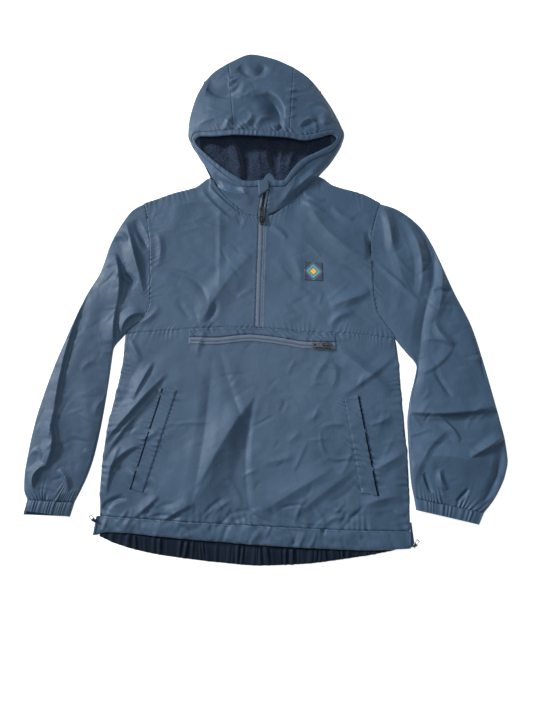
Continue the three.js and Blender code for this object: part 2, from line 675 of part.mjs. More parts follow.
// Slider body with the bridge that holds the pull, extruded as one profile across the zip
function sliderGeometry({ slider: [, length], bridge }) {
  const half = length / 2;
  const arch = 4.4 * (bridge / 2) ** 0.4;
  const inside = arch * 0.62;
  const ceiling = AXIS_HEIGHT + 1.4;
  const top = ceiling + arch - inside;
  const side = new THREE.Shape();
  side.moveTo(-half, 0).lineTo(half, 0).lineTo(half, BODY_HEIGHT).lineTo(arch, BODY_HEIGHT);
  side.lineTo(arch * 0.72, top).lineTo(-arch * 0.72, top).lineTo(-arch, BODY_HEIGHT);
  side.lineTo(-half, BODY_HEIGHT).closePath();
  const hole = new THREE.Path();
  hole.moveTo(-inside, BODY_HEIGHT + 0.1).lineTo(inside, BODY_HEIGHT + 0.1);
  hole.lineTo(inside * 0.8, ceiling).lineTo(-inside * 0.8, ceiling).closePath();
  side.holes.push(hole);
  return { side, half };
}

const materials = {};
function material(name, color, roughness = 0.7, metalness = 0) {
  materials[name] ??= new THREE.MeshStandardMaterial({ name, color, roughness, metalness });
  return materials[name];
}
const shellCloth = () => material("shell", 0x546a82, 0.6);
const liningCloth = () => material("lining", 0x2b3350, 0.95);
const zipTape = () => material("zip_tape", 0x747b88, 0.7);
const labelCloth = () => material("label", 0x3f4652, 0.8);
const hardware = () => material("hardware", 0x4e4a55, 0.45, 0.3);
const wire = () => material("wire", 0x8d9096, 0.35, 0.9);

const garment = new THREE.Group();
function add(name, geometry, finish, parent = garment) {
  const mesh = new THREE.Mesh(geometry, finish);
  mesh.name = name;
  parent.add(mesh);
  return mesh;
}

// Bottom layer: back, its gathered hem and the hood's back half
function addBack() {
  const onSurface = () => 0;
  const flat = () => CLOTH;
  add(
    "back",
    panel({
      plan: between({
        bottom: across(BACK_HEM_EDGE, -256, 221, BACK_HEM),
        top: (t) => {
          if (t < 0.28) return across(SHOULDER_R, -209, NECK_R)(t / 0.28);
          if (t > 0.74) return across(SHOULDER_L, NECK_L, 194)((t - 0.74) / 0.26);
          return across(BACK_NECK, NECK_R, NECK_L)((t - 0.28) / 0.46);
        },
        left: upright(SIDE_R, -258, SHOULDER_Y),
        right: upright(SIDE_L, -272, SHOULDER_Y),
      }),
      columns: 10,
      rows: 30,
      inset: 4 * SEAM,
      top: flat,
      bottom: onSurface,
    }),
    shellCloth(),
  );
  const gathers = (x, y, u, v) => {
    const covered = y > read(FRONT_HEM_EDGE, "x", "y", x) - 3;
    const wave = 0.5 - 0.5 * Math.cos(2 * Math.PI * BACK_HEM_GATHERS * u);
    return CLOTH + (covered ? 0 : 1.9 * wave * (1 - 0.6 * v));
  };
  add(
    "hem_back",
    panel({
      plan: between({
        bottom: across(BACK_HEM_EDGE, -256, 221),
        top: across(BACK_HEM_EDGE, -256, 221, BACK_HEM),
        left: straight([-256, -282], [-256, -282 + BACK_HEM]),
        right: straight([221, -296], [221, -296 + BACK_HEM]),
      }),
      columns: BACK_HEM_GATHERS * 3,
      rows: 2,
      top: gathers,
      bottom: onSurface,
    }),
    shellCloth(),
  );
  add(
    "hood_back",
    panel({
      plan: between({
        bottom: across(BACK_NECK, NECK_R, NECK_L, SEAM),
        top: through(HOOD_TOP_EDGE),
        left: through(HOOD_LEFT_EDGE),
        right: through(HOOD_RIGHT_EDGE),
      }),
      columns: 12,
      rows: 10,
      top: flat,
      bottom: onSurface,
    }),
    shellCloth(),
  );
}

// Top layer of the body
function addFront() {
  const half = ZIP_WIDTH / 2;
  const uppers = [
    {
      name: "front_upper_r",
      bottom: across(CHEST_SEAM, -229, ZIP_AT_CHEST - half),
      top: across(SHOULDER_R, -209, ZIP_AT_NECK - half),
      left: upright(SIDE_R, UNDERARM_R, SHOULDER_Y),
      right: upright(FRONT_ZIP, 45, 238, -half),
    },
    {
      name: "front_upper_l",
      bottom: across(CHEST_SEAM, ZIP_AT_CHEST + half, 210),
      top: across(SHOULDER_L, ZIP_AT_NECK + half, 194),
      left: upright(FRONT_ZIP, 45, 238, half),
      right: upright(SIDE_L, UNDERARM_L, SHOULDER_Y),
    },
  ];
  for (const { name, ...edges } of uppers) {
    add(name, panel({ plan: between(edges), columns: 14, rows: 14, top: bodyTop }), shellCloth());
  }
  add(
    "front_lower",
    panel({
      plan: between({
        bottom: across(FRONT_HEM_SEAM, -257, 221),
        top: across(CHEST_SEAM, -229, 210),
        left: upright(SIDE_R, -251, UNDERARM_R),
        right: upright(SIDE_L, -274, UNDERARM_L),
      }),
      columns: 26,
      rows: 17,
      top: bodyTop,
    }),
    shellCloth(),
  );
  add(
    "hem_front",
    panel({
      plan: between({
        bottom: across(FRONT_HEM_EDGE, -261, 220),
        top: across(FRONT_HEM_SEAM, -257, 221),
        left: straight([-261, -280], [-257, -251]),
        right: straight([220, -300], [221, -274]),
      }),
      columns: 30,
      rows: 3,
      top: (x, y, u, v) => bodyTop(x, y) + 1.4 * Math.sin(Math.PI * clamp(v, 0, 1)) + 0.3,
      bottom: (x, y) => bodyTop(x, y) - CLOTH,
    }),
    shellCloth(),
  );
}

function addSleeves() {
  add("sleeve_r", sleeve(SLEEVE_R, SIDE_R), shellCloth());
  add("sleeve_l", sleeve(SLEEVE_L, SIDE_L), shellCloth());
  add("cuff_r", cuff(CUFF_R), shellCloth());
  add("cuff_l", cuff(CUFF_L), shellCloth());
}

function addHood() {
  add("hood_side_r", hoodPanel(HOOD_SIDE_R, 6, HOOD_SIDE_STEPS), shellCloth());
  add("hood_centre", hoodPanel(HOOD_CENTRE, 8, 8), shellCloth());
  add("hood_side_l", hoodPanel(HOOD_SIDE_L, 6, HOOD_SIDE_STEPS), shellCloth());
  add("hood_casing", casing(), shellCloth());
  add(
    "hood_lining",
    panel({
      plan: between({
        bottom: through(LINING_BOTTOM),
        top: through(LINING_TOP),
        left: through(LINING_LEFT),
        right: through(LINING_RIGHT),
      }),
      columns: 12,
      rows: 9,
      top: (x, y) => CLOTH + SEAM + 2 + foldsAt(LINING_FOLDS, x, y),
      bottom: () => CLOTH + SEAM,
    }),
    liningCloth(),
  );
}

// What is sewn on the front: zips, pocket welts, the band over the pocket and the label
function laidOn({ plan, columns, rows, thickness, surface = bodyTop, lift = MOVED_OUT }) {
  return panel({
    plan,
    columns,
    rows,
    inset: 0,
    top: (x, y) => surface(x, y) + lift + thickness,
    bottom: (x, y) => surface(x, y) + lift,
  });
}

function addTrim() {
  const half = ZIP_WIDTH / 2;
  const welts = [
    { name: "pocket_welt_r", foot: [[-212, -212], [-191, -217]], head: [[-167, -55], [-143, -57]] },
    { name: "pocket_welt_l", foot: [[147, -217], [174, -222]], head: [[124, -69], [148, -67]] },
  ];
  for (const { name, foot, head } of welts) {
    const plan = fourSided(foot, head);
    add(name, laidOn({ plan, columns: 3, rows: 14, thickness: 1.6, lift: 1.1 }), shellCloth());
  }
  const band = between({
    bottom: across(POCKET_ZIP, POCKET_R, POCKET_L, half + SEAM),
    top: across(CHEST_SEAM, POCKET_R, POCKET_L, -1),
    left: straight([POCKET_R, 23 + half + SEAM], [POCKET_R, 42]),
    right: straight([POCKET_L, 14 + half + SEAM], [POCKET_L, 35]),
  });
  add("pocket_band", laidOn({ plan: band, columns: 24, rows: 2, thickness: 1.8 }), shellCloth());
  const pocketZip = between({
    bottom: across(POCKET_ZIP, POCKET_R, POCKET_L, -half),
    top: across(POCKET_ZIP, POCKET_R, POCKET_L, half),
    left: straight([POCKET_R, 23 - half], [POCKET_R, 23 + half]),
    right: straight([POCKET_L, 14 - half], [POCKET_L, 14 + half]),
  });
  add("zip_pocket", laidOn({ plan: pocketZip, columns: 24, rows: 2, thickness: 1 }), zipTape());
  const frontZip = between({
    bottom: straight([ZIP_AT_CHEST - half, 46], [ZIP_AT_CHEST + half, 46]),
    top: straight([1 - half, COLLAR_TOP], [1 + half, COLLAR_TOP]),
    left: upright(FRONT_ZIP, 46, COLLAR_TOP, -half + SEAM),
    right: upright(FRONT_ZIP, 46, COLLAR_TOP, half - SEAM),
  });
  add(
    "zip_front",
    panel({
      plan: frontZip,
      columns: 2,
      rows: 22,
      inset: SEAM / 2,
      top: (x, y) => zipLine(x, y) - 0.5,
      bottom: (x, y) => zipLine(x, y) - 2,
    }),
    zipTape(),
  );
  // The guard behind the zip, whose rounded top stands above the collar
  const guard = between({
    bottom: straight([-11, 266], [7, 266]),
    top: (t) => [lerp(-6, 16, t), 300 + 13 * Math.sin(Math.PI * t)],
    left: straight([-11, 266], [-6, 300]),
    right: straight([7, 266], [16, 300]),
  });
  add(
    "zip_guard",
    panel({
      plan: guard,
      columns: 6,
      rows: 5,
      top: (x, y) => zipLine(x, y) - 4.4,
      bottom: (x, y) => zipLine(x, y) - 6,
    }),
    shellCloth(),
  );
  // The chin flap folded over the zip's top end
  const flap = fourSided([[-13, 268], [5, 281]], [[-15, 296], [4, 297]]);
  add(
    "zip_flap",
    laidOn({ plan: flap, columns: 3, rows: 3, thickness: 1.4, surface: zipLine, lift: 2.6 }),
    shellCloth(),
  );
  const label = fourSided([[62, 125], [93, 123]], [[62, 157], [93, 155]]);
  add("label", laidOn({ plan: label, columns: 3, rows: 3, thickness: 1 }), labelCloth());
}

// The side zips' tapes, past the front's edges, and every slider with its pull
function addHardware() {
  const tapes = [
    { name: "side_zip_r", foot: [[-267, -281], [-261.2, -280]], head: [[-263, -252], [-257.4, -252]] },
    { name: "side_zip_l", foot: [[221, -299], [227, -297]], head: [[222, -262], [224, -262]] },
  ];
  for (const { name, foot, head } of tapes) {
    const ends = { top: () => EDGE - 1, bottom: () => 0 };
    add(name, panel({ plan: fourSided(foot, head), columns: 1, rows: 4, ...ends }), shellCloth());
  }
  const onFront = zipLine(ZIP_AT_NECK, 229) + 0.3;
  const onPocket = bodyTop(96, 14) + 2.2;
  const onSides = EDGE - 0.4;
  const large = { sizes: PULL_SIZES, lies: 1, droop: 0.05 };
  const ring = { sizes: RING_SIZES, lies: 1, droop: 0 };
  // "lies" is 1 where the pull lies towards the slider's tapered end, and -1 where it is turned up
  const sets = [
    { name: "front", x: ZIP_AT_NECK, y: 229, z: onFront, turn: 0, ...large, lies: -1, droop: 0 },
    { name: "pocket", x: 96, y: 14.3, z: onPocket, turn: -Math.PI / 2, ...large },
    { name: "side_r", x: -264.4, y: -257.5, z: onSides, turn: Math.PI + 0.7, ...ring },
    { name: "side_l", x: 225.4, y: -294.5, z: onSides, turn: Math.PI - 0.6, ...ring },
  ];
  for (const { name, x, y, z, turn, sizes, lies, droop } of sets) {
    const group = new THREE.Group();
    group.position.set(x, y, z);
    group.rotation.z = turn;
    garment.add(group);
    addSlider(name, sizes, group);
    addPull(name, sizes, lies, droop, group);
  }
}

function addSlider(name, sizes, group) {
  const [width] = sizes.slider;
  const { side, half } = sliderGeometry(sizes);
  // The bridge is narrower than the body, so the profile is extruded at its width
  // and the body's two flanks are added as one outline round it.
  const middle = new THREE.ExtrudeGeometry(side, { depth: sizes.bridge, bevelEnabled: false });
  middle.translate(0, 0, -sizes.bridge / 2).rotateX(Math.PI / 2).rotateZ(Math.PI / 2);
  const outline = new THREE.Shape();
  const tip = width * 0.28;
  outline.moveTo(-tip, -half).lineTo(tip, -half).lineTo(width / 2, half * 0.3);
  outline.lineTo(width / 2, half).lineTo(-width / 2, half).lineTo(-width / 2, half * 0.3);
  outline.closePath();
  const body = slab(outline, BODY_HEIGHT - 0.05, 0.4);
  add(`slider_${name}`, joined(middle, body), hardware(), group);
}

function addPull(name, { tab, width, wire: thick, eye }, lies, droop, group) {
  const bar = thick / 2;
  const outline = new THREE.Shape();
  const half = width / 2;
  outline.moveTo(-half, bar).lineTo(half, bar).lineTo(half, -eye);
  outline.quadraticCurveTo(half * 0.72, -eye - tab * 0.4, half, -eye - tab * 0.85);
  outline.quadraticCurveTo(half, -eye - tab, half * 0.6, -eye - tab);
  outline.lineTo(-half * 0.6, -eye - tab);
  outline.quadraticCurveTo(-half, -eye - tab, -half, -eye - tab * 0.85);
  outline.quadraticCurveTo(-half * 0.72, -eye - tab * 0.4, -half, -eye);
  outline.closePath();
  const side = half - thick;
  const hole = new THREE.Path();
  outline.holes.push(hole);
  const ringPull = tab < 10;
  if (ringPull) {
    const low = thick - eye - tab;
    hole.moveTo(-side, -bar).lineTo(-side, 1.8 - eye - tab).lineTo(-side * 0.5, low);
    hole.lineTo(side * 0.5, low).lineTo(side, 1.8 - eye - tab).lineTo(side, -bar).closePath();
  } else {
    const foot = 0.4 - eye;
    hole.moveTo(-side, -bar).lineTo(-side, foot).lineTo(side, foot).lineTo(side, -bar).closePath();
    const middle = -eye - tab * 0.72;
    const corners = Array.from({ length: 8 }, (_, n) => (n * Math.PI) / 4);
    const slot = corners.map((a) => new THREE.Vector2(1.4 * Math.cos(a), 2.2 * Math.sin(a) + middle));
    outline.holes.push(new THREE.Path(slot));
  }
  const geometry = slab(outline, thick, 0.2).translate(0, 0, -bar).rotateX(droop);
  if (lies < 0) geometry.rotateZ(Math.PI);
  geometry.translate(0, 0, AXIS_HEIGHT);
  add(`pull_${name}`, geometry, ringPull ? wire() : hardware(), group);
}

// Joins two closed geometries into one solid.
function joined(...geometries) {
  const solids = geometries.map((geometry) => {
    const bare = new THREE.BufferGeometry();
    const source = geometry.index ? geometry.toNonIndexed() : geometry;
    bare.setAttribute("position", source.attributes.position);
    const merged = mergeVertices(bare, 1e-3);
    return new wasm.Manifold(
      new wasm.Mesh({
        numProp: 3,
        vertProperties: new Float32Array(merged.attributes.position.array),
        triVerts: new Uint32Array(merged.index.array),
      }),
    );
  });
  const mesh = solids.reduce((sum, solid) => sum.add(solid)).getMesh();
  const geometry = new THREE.BufferGeometry();
  geometry.setAttribute("position", new THREE.BufferAttribute(mesh.vertProperties, 3));
  geometry.setIndex(new THREE.BufferAttribute(mesh.triVerts, 1));
  geometry.computeVertexNormals();
  return geometry;
}

addBack();
addFront();
addSleeves();
addHood();
addTrim();
addHardware();
garment.position.set(-CENTRE[0], -CENTRE[1], 0);

export default garment;
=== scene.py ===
"""A child's anorak pullover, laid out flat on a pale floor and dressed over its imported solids.

Sizes and tables are in millimetres on the surface that the garment lies on: x runs to the
wearer's left, y from the hem to the hood and z up. They become metres when a mesh is made.
"""
import math

import bpy
import numpy as np
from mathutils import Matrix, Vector


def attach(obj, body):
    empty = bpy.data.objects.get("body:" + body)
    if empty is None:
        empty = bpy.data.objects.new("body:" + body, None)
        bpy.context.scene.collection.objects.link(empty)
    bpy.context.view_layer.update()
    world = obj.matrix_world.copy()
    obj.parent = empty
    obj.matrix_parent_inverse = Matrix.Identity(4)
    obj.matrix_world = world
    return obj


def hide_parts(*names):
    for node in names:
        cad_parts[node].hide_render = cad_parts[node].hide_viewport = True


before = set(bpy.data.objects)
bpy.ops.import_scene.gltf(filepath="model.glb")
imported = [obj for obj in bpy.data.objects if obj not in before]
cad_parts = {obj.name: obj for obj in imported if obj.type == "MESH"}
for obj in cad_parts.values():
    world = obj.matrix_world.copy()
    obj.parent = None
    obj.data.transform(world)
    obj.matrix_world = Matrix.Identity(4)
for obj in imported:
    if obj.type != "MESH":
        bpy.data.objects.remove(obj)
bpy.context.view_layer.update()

MM = 0.001
CENTRE = (0.5, 112.0)  # the laid-out garment's middle, which is the frame's origin

# Sizes of the cloth and of what is sewn on it
CLOTH = 3.0
SEAM = 0.3  # between two pieces that are sewn together
EDGE = 2 * CLOTH + SEAM  # height of two layers at their folded edge
RADIUS = EDGE / 2  # of a folded edge
LOWEST = 0.2  # height of the layer that lies on the floor
LOFT = 3.4  # how far the top layer rises in its middle
CASING = 10.0
ZIP_WIDTH = 11.4
HALF_ZIP = ZIP_WIDTH / 2
OPEN_HALF = 2.2  # of the gap between the zip's tapes above its slider
BACK_HEM = 24.0
BACK_HEM_GATHERS = 46
CUFF_GATHERS = 13
SLEEVE_LENGTH = 480
SLEEVE_WIDTH = 200
STEP = 1.6  # between the points of a cloth mesh
HIDDEN_STEP = 2.6  # and of one that faces the floor
CREASE_RADIUS = 0.7
CREASE_REACH = 1.5  # of a crease's flank, in its own widths
CREASE_CURVE = 1.4  # how hollow that flank is
HOOD_LINING_DROP = 2.2  # of the hood's lining under its shell
HOOD_LINING_LOWEST = 2.0  # height that it never goes below
HOOD_SHARE = 0.35  # of the hood's soft dents
FOLD_SHARE = 0.3  # of the large folds, where creases with flat sides take their place
STITCH_PITCH = 3.0
STITCH_LENGTH = 2.2
WELT_STITCH_INSET = 4.84  # from a welt's corner towards its middle
# How much stronger the creases of a table are than its rows say
STRENGTH = dict(
    front=1.5, front_strewn=1.2, gathers=1.9, sleeve=1.8, sleeve_strewn=1.1, hem=2.2, hood=1.25,
    hood_strewn=0.9, lining=2.2,
)

UNDERARM_R = 36.0
UNDERARM_L = 27.0
SHOULDER_Y = 262.0
NECK_Y = 240.0
NECK_R, NECK_L = -97, 90  # x of the neck's two ends
ZIP_FOOT, ZIP_NECK = -13, -8  # x of the half zip at the chest seam and at the neck
COLLAR_TOP = 298.0
COLLAR_HEIGHT = 20.0


def table(columns, *rows):
    """A table with one array for each named column."""
    return dict(zip(columns.split(), np.array(rows, float).T))


# Lower and upper ends of the slanted pocket welts, each from left to right
WELTS = {
    "r": dict(foot=((-212, -212), (-191, -217)), head=((-167, -55), (-143, -57))),
    "l": dict(foot=((147, -217), (174, -222)), head=((124, -69), (148, -67))),
}
# Sides of the body from the hem to the underarm, and on along the armhole
SIDE_R = table(
    "y x",
    (-284, -261), (-250, -257), (-210, -259), (-167, -257), (-124, -253), (-80, -245), (-50, -239),
    (-12, -233), (36, -229), (60, -204), (83, -192), (166, -194), (244, -204), (262, -209),
)
SIDE_L = table(
    "y x",
    (-302, 220), (-250, 221), (-190, 222), (-136, 220), (-80, 217), (-12, 214), (27, 210), (51, 195),
    (77, 180), (126, 176), (187, 175), (240, 186), (262, 194),
)
# Seams and edges that run across the garment
CHEST_SEAM = table(
    "x y",
    (-229, 36), (-153, 40), (-124, 43), (-60, 45), (-14, 45), (22, 42), (72, 37), (120, 36), (160, 33),
    (210, 27),
)
SHOULDER_R = table(
    "x y",
    (-209, 262), (-161, 280), (-121, 292), (-97, 308), (-86, 293), (-72, 275), (-57, 260.5), (-42, 247.5),
    (-25, 239.5), (-8, 238),
)
SHOULDER_L = table(
    "x y",
    (-8, 238), (9, 240), (25, 250), (43, 264), (63, 283), (78, 297), (90, 311), (114, 295), (165, 279),
    (194, 262),
)
BACK_NECK = table("x y", (-97, 310), (-50, 301), (0, 298), (50, 302), (90, 312))
FRONT_HEM_SEAM = table("x y", (-257, -251), (-149, -258), (-23, -265), (129, -272), (221, -274))
FRONT_HEM_EDGE = table(
    "x y", (-261, -280), (-245, -276), (-121, -286), (50, -298), (156, -302), (220, -300)
)
BACK_HEM_EDGE = table(
    "x y",
    (-256, -282), (-231, -293), (-176, -307), (-121, -315), (-66, -321), (-12, -325), (51, -323),
    (129, -314), (184, -305), (221, -296),
)
FRONT_ZIP = table("y x", (44, -13), (135, -10.5), (222, -8), (240, -8), (270, -4), (300, 1))
POCKET_ZIP = table(
    "x y", (-126, 23), (-86, 22), (-27, 27), (6, 24), (38, 19), (64, 15), (112, 14)
)
# Sections of the sleeves from the armhole to the cuff: outer edge a, inner edge b,
# and how far the section still follows the armhole's curve
SLEEVE_R = table(
    "ax ay bx by bulge",
    (-209, 262, -229.5, 36, 1), (-227, 251, -233, 32, 0.8), (-246, 224, -238, 26, 0.55),
    (-262, 190, -244, 19, 0.3), (-276, 142, -249, 9, 0.12), (-298, 100, -251, -12, 0),
    (-322, 38, -254, -46, 0), (-341, -12, -258, -82, 0), (-356, -62, -262, -112, 0),
    (-367, -106, -266, -137, 0), (-374, -150, -271, -163, 0), (-378, -190, -279, -190, 0),
    (-377, -212, -288, -212, 0), (-371, -227, -297, -231, 0),
)
SLEEVE_L = table(
    "ax ay bx by bulge",
    (194, 262, 210.5, 27, 1), (216, 255, 214, 22, 0.85), (240, 240, 218, 16, 0.65),
    (264, 215, 224, 8, 0.45), (279, 187, 231, -1, 0.28), (292, 155, 238, -9, 0.12),
    (310, 107, 242.5, -20, 0), (336, 47, 237.5, -42, 0), (350, -7, 231.5, -62, 0),
    (362, -62, 226.5, -86, 0), (371, -106, 223.5, -112, 0), (377, -140, 223.5, -136, 0),
    (378.5, -166, 224, -160, 0), (373, -190, 224.5, -182, 0), (362, -213, 225.5, -202, 0),
    (350, -231, 227, -214, 0), (336, -247, 229, -225, 0),
)
# Cuffs: the edges a and b at the seam, c and d at the open end, and how far it gapes
CUFF_R = dict(a=(-371, -227), b=(-297, -231), c=(-375, -250), d=(-303, -253), gape=6.0)
CUFF_L = dict(a=(336, -247), b=(229, -225), c=(327, -265), d=(231, -243), gape=1.0)
# Ruled sections of the hood, round the mouth from the zip: the mouth's edge m and the outline o
HOOD_SIDE_R = table(
    "mx my mz ox oy oz",
    (-5.3, 298, 20, -14.5, 241, 9.7), (-33, 296, 20, -31, 244.5, 9.7), (-57, 308, 20, -57, 263.5, 9.7),
    (-88, 333, 18, -83, 293, 9.0), (-108, 352, 16, -101, 324, 6.3), (-119, 364, 14, -119, 352, 6.3),
    (-123, 373, 13, -137, 391, 6.3), (-114, 381, 15, -136, 414, 6.3), (-90, 377, 22, -125, 462, 6.3),
    (-70, 375.5, 27, -98, 509, 6.3), (-55, 375, 30, -68, 532, 6.3),
)
HOOD_CENTRE = table(
    "mx my mz ox oy oz",
    (-55, 375, 30, -68, 532, 6.3), (-24, 372.5, 32, -28, 549, 6.3), (8, 370, 33, 10, 541, 6.3),
    (38, 369, 31, 49, 523, 6.3),
)
HOOD_SIDE_L = table(
    "mx my mz ox oy oz",
    (38, 369, 31, 49, 523, 6.3), (62, 366, 28, 76, 501, 6.3), (88, 373, 24, 106, 457, 6.3),
    (111, 383, 18, 128, 413, 6.3), (121, 377, 15, 136, 391, 6.3), (115, 368, 15, 129, 368, 6.3),
    (92, 354, 17, 113, 341, 6.3), (62, 337, 19, 92, 316, 7.0), (44, 318, 20, 66, 289, 9.7),
    (27, 297, 20, 32, 258.5, 9.7), (7.3, 298, 20, -1.1, 241, 9.7),
)
# Outline of the hood's bottom layer, and of the lining that shows in its mouth
HOOD_LEFT_EDGE = table(
    "x y", (-97, 311), (-110, 338), (-131, 372), (-137, 391), (-134, 424), (-126, 459), (-111, 494)
)
HOOD_TOP_EDGE = table(
    "x y",
    (-111, 494), (-95, 512), (-68, 532), (-28, 549), (10, 541), (49, 523), (76, 501), (96, 475),
)
HOOD_RIGHT_EDGE = table(
    "x y", (90, 313), (113, 340), (131, 372), (136, 391), (130, 410), (116, 441), (96, 475)
)
LINING_LEFT = table("x y", (-86, 311), (-106, 346), (-116, 380), (-96, 430))
LINING_RIGHT = table("x y", (78, 312), (100, 346), (112, 380), (94, 430))
LINING_BOTTOM = table("x y", (-86, 311), (-34, 291), (0, 286), (30, 291), (78, 312))
LINING_TOP = table("x y", (-96, 430), (-30, 440), (34, 440), (94, 430))

# Large folds: start, end, how far each bows to its left, half width and height
FOLDS = table(
    "x y to_x to_y bow width height",
    (-128, -253, -26, -66, 8, 15, 6), (-70, -252, -24, -70, -10, 12, -3),
    (-28, -256, -30, -120, 6, 9, 3.5), (-226, -100, -150, 0, 6, 11, 5), (-214, -66, -182, 10, -3, 9, -3),
    (-250, -240, -214, -226, 6, 9, 3.5), (-160, -246, -116, -214, -4, 10, 4),
    (-92, 4, -116, -190, -5, 10, 3), (-66, 6, -50, -100, 5, 10, 2.5), (20, -246, 120, -196, 10, 18, 5),
    (40, -70, 112, -150, -12, 17, 3.5), (118, 6, 188, -60, 8, 13, 4), (150, -232, 212, -190, -6, 12, 4),
    (-106, 56, -30, 172, 12, 11, 5), (-88, 52, -20, 150, -6, 10, -3), (-168, 134, -96, 78, 14, 12, 3.5),
    (-150, 250, -186, 190, 5, 12, 4), (70, 244, 166, 176, 9, 12, 4.5), (8, 208, 60, 150, 8, 11, 3),
    (100, 76, 166, 106, -4, 10, 3.5), (-215, 210, -222, 120, -8, 11, 5), (-232, 96, -212, 60, 4, 9, 4),
    (-262, 160, -318, -20, 8, 13, 4), (-312, -10, -334, -132, -8, 13, 7),
    (-334, -132, -364, -212, 6, 10, 6), (-290, -20, -282, -150, 6, 14, 3),
    (204, 240, 240, 130, 10, 13, 5), (270, 178, 246, 4, 7, 12, 6.5), (240, -84, 350, -82, 6, 9, 6),
    (238, -104, 356, -112, -4, 9, -3), (268, -94, 304, -136, 8, 8, 4), (322, -152, 370, -128, -4, 10, 5),
    (244, -190, 330, -164, 14, 16, 4), (252, -170, 272, -218, 2, 7, 4),
)
HOOD_FOLDS = table(
    "x y to_x to_y bow width height",
    (-22, 470, 30, 396, 6, 15, -9), (-100, 476, -48, 474, -8, 15, -6), (-52, 520, 2, 516, -8, 13, -5),
    (0, 480, 30, 440, 4, 12, 4), (66, 460, 96, 420, 4, 16, 4), (-110, 410, -60, 398, 6, 11, 4),
    (-94, 318, -36, 268, -5, 8, 3), (84, 322, 24, 262, 5, 8, 3),
)
LINING_FOLDS = table(
    "x y to_x to_y bow width height",
    (-34, 292, -62, 400, 10, 7, 4), (18, 306, -2, 400, 8, 7, 4), (58, 330, 74, 400, -6, 8, 3),
)
# Creases with flat sides: three points on each, the width of the side to the
# left and to the right of the way it runs, how much wider both are at its end, and its height
CREASE_COLUMNS = "x y mid_x mid_y to_x to_y left right fan height"
FRONT_CREASES = table(
    CREASE_COLUMNS,
    (-18, -67, -70, -142, -122, -258, 14, 22, 2.6, 6.5),
    (-18, -69, -32, -149, -24, -256, 5, 15, 1.4, -3.0),
    (-88, -9, -101, -149, -117, -250, 12, 9, 1.2, -2.2), (-75, 4, -54, -63, -30, -122, 6, 9, 1, -1.8),
    (-184, -14, -196, -38, -211, -70, 3, 12, 1, 4.2), (-164, -34, -207, -83, -253, -136, 4, 15, 1.2, 5.4),
    (-221, 24, -212, 7, -203, -9, 5, 5, 1, 2.2), (99, -182, 39, -216, -13, -249, 9, 24, 1, 2.8),
    (76, -45, 89, -19, 102, -4, 7, 6, 1, 1.1), (104, -54, 111, -35, 108, -16, 8, 5, 1, 1.0),
    (62, -108, 73, -100, 85, -93, 6, 6, 1, 1.1), (34, -139, 43, -132, 53, -124, 6, 6, 1, 1.1),
    (-4, -173, 16, -167, 37, -164, 6, 6, 1, 1.2), (87, -116, 108, -111, 131, -114, 3, 5, 1, 1.2),
    (84, -127, 90, -155, 133, -161, 4, 4, 1, 1.2), (166, -113, 179, -108, 197, -99, 5, 8, 1, 2.0),
    (168, -182, 189, -170, 212, -159, 7, 10, 1, 2.8), (-100, 40, -109, 15, -112, -3, 5, 9, 1, 1.8),
    (-256, -250, -240, -231, -218, -225, 5, 4, 1, -3.4),
    (-198, -136, -183, -130, -171, -121, 4, 5, 1, 1.4),
    (-200, -144, -228, -160, -246, -184, 4, 13, 1, 3.4),
    (-114, -234, -136, -244, -157, -258, 3.5, 10, 1, 3.2),
    (-168, -222, -182, -236, -202, -252, 3.5, 9, 1, 3.0), (150, -236, 176, -226, 206, -222, 7, 9, 1, 2.4),
    (118, 6, 152, -22, 196, -58, 10, 14, 1, 3.0), (-60, -200, -48, -214, -40, -236, 5, 6, 1, 1.4),
    (-23, 173, -73, 111, -108, 49, 22, 18, 1.1, 3.4), (-84, 91, -87, 67, -99, 52, 6, 7, 1, -2.6),
    (-170, 140, -121, 127, -96, 86, 5, 9, 1, -1.8), (-145, 91, -135, 74, -125, 60, 4, 6, 1, -1.5),
    (-79, 257, -78, 177, -78, 108, 7, 5, 1, 1.1), (70, 261, 116, 195, 175, 156, 16, 18, 1, 3.6),
    (167, 103, 137, 92, 107, 82, 7, 13, 1.3, 3.4), (8, 219, 21, 211, 33, 198, 5, 6, 1, 1.8),
    (170, 209, 175, 184, 172, 159, 5, 7, 1, -3.4), (103, 49, 120, 65, 140, 70, 6, 7, 1, 2.4),
    (-196, -86, -222, -116, -252, -160, 3, 9, 1, 2.2), (-232, -148, -243, -186, -248, -217, 3, 7, 1, 2.6),
    (138, -180, 95, -211, 37, -255, 7, 18, 1, 1.6), (207, -2, 165, -36, 125, -63, 5, 12, 1, 1.8),
    (-155, 257, -130, 261, -87, 261, 6, 6, 1, 1.2), (-47, 94, -39, 101, -24, 108, 4, 5, 1, 1.3),
    (42, 168, 54, 142, 55, 108, 8, 8, 1, 1.1), (-182, 206, -176, 176, -180, 150, 6, 6, 1, 1.8),
    (112, 252, 128, 238, 146, 232, 6, 7, 1, 2.0), (64, 278, 80, 268, 98, 266, 5, 3, 1, 2.2),
    (62, 266, 78, 254, 96, 246, 6, 3, 1, 1.8), (-96, 290, -76, 266, -48, 243, 2.5, 5, 1, 2.6),
    (-108, 282, -88, 256, -60, 232, 2.5, 6, 1, 1.8), (-206, 52, -190, 62, -176, 78, 6, 6, 1, 2.0),
)
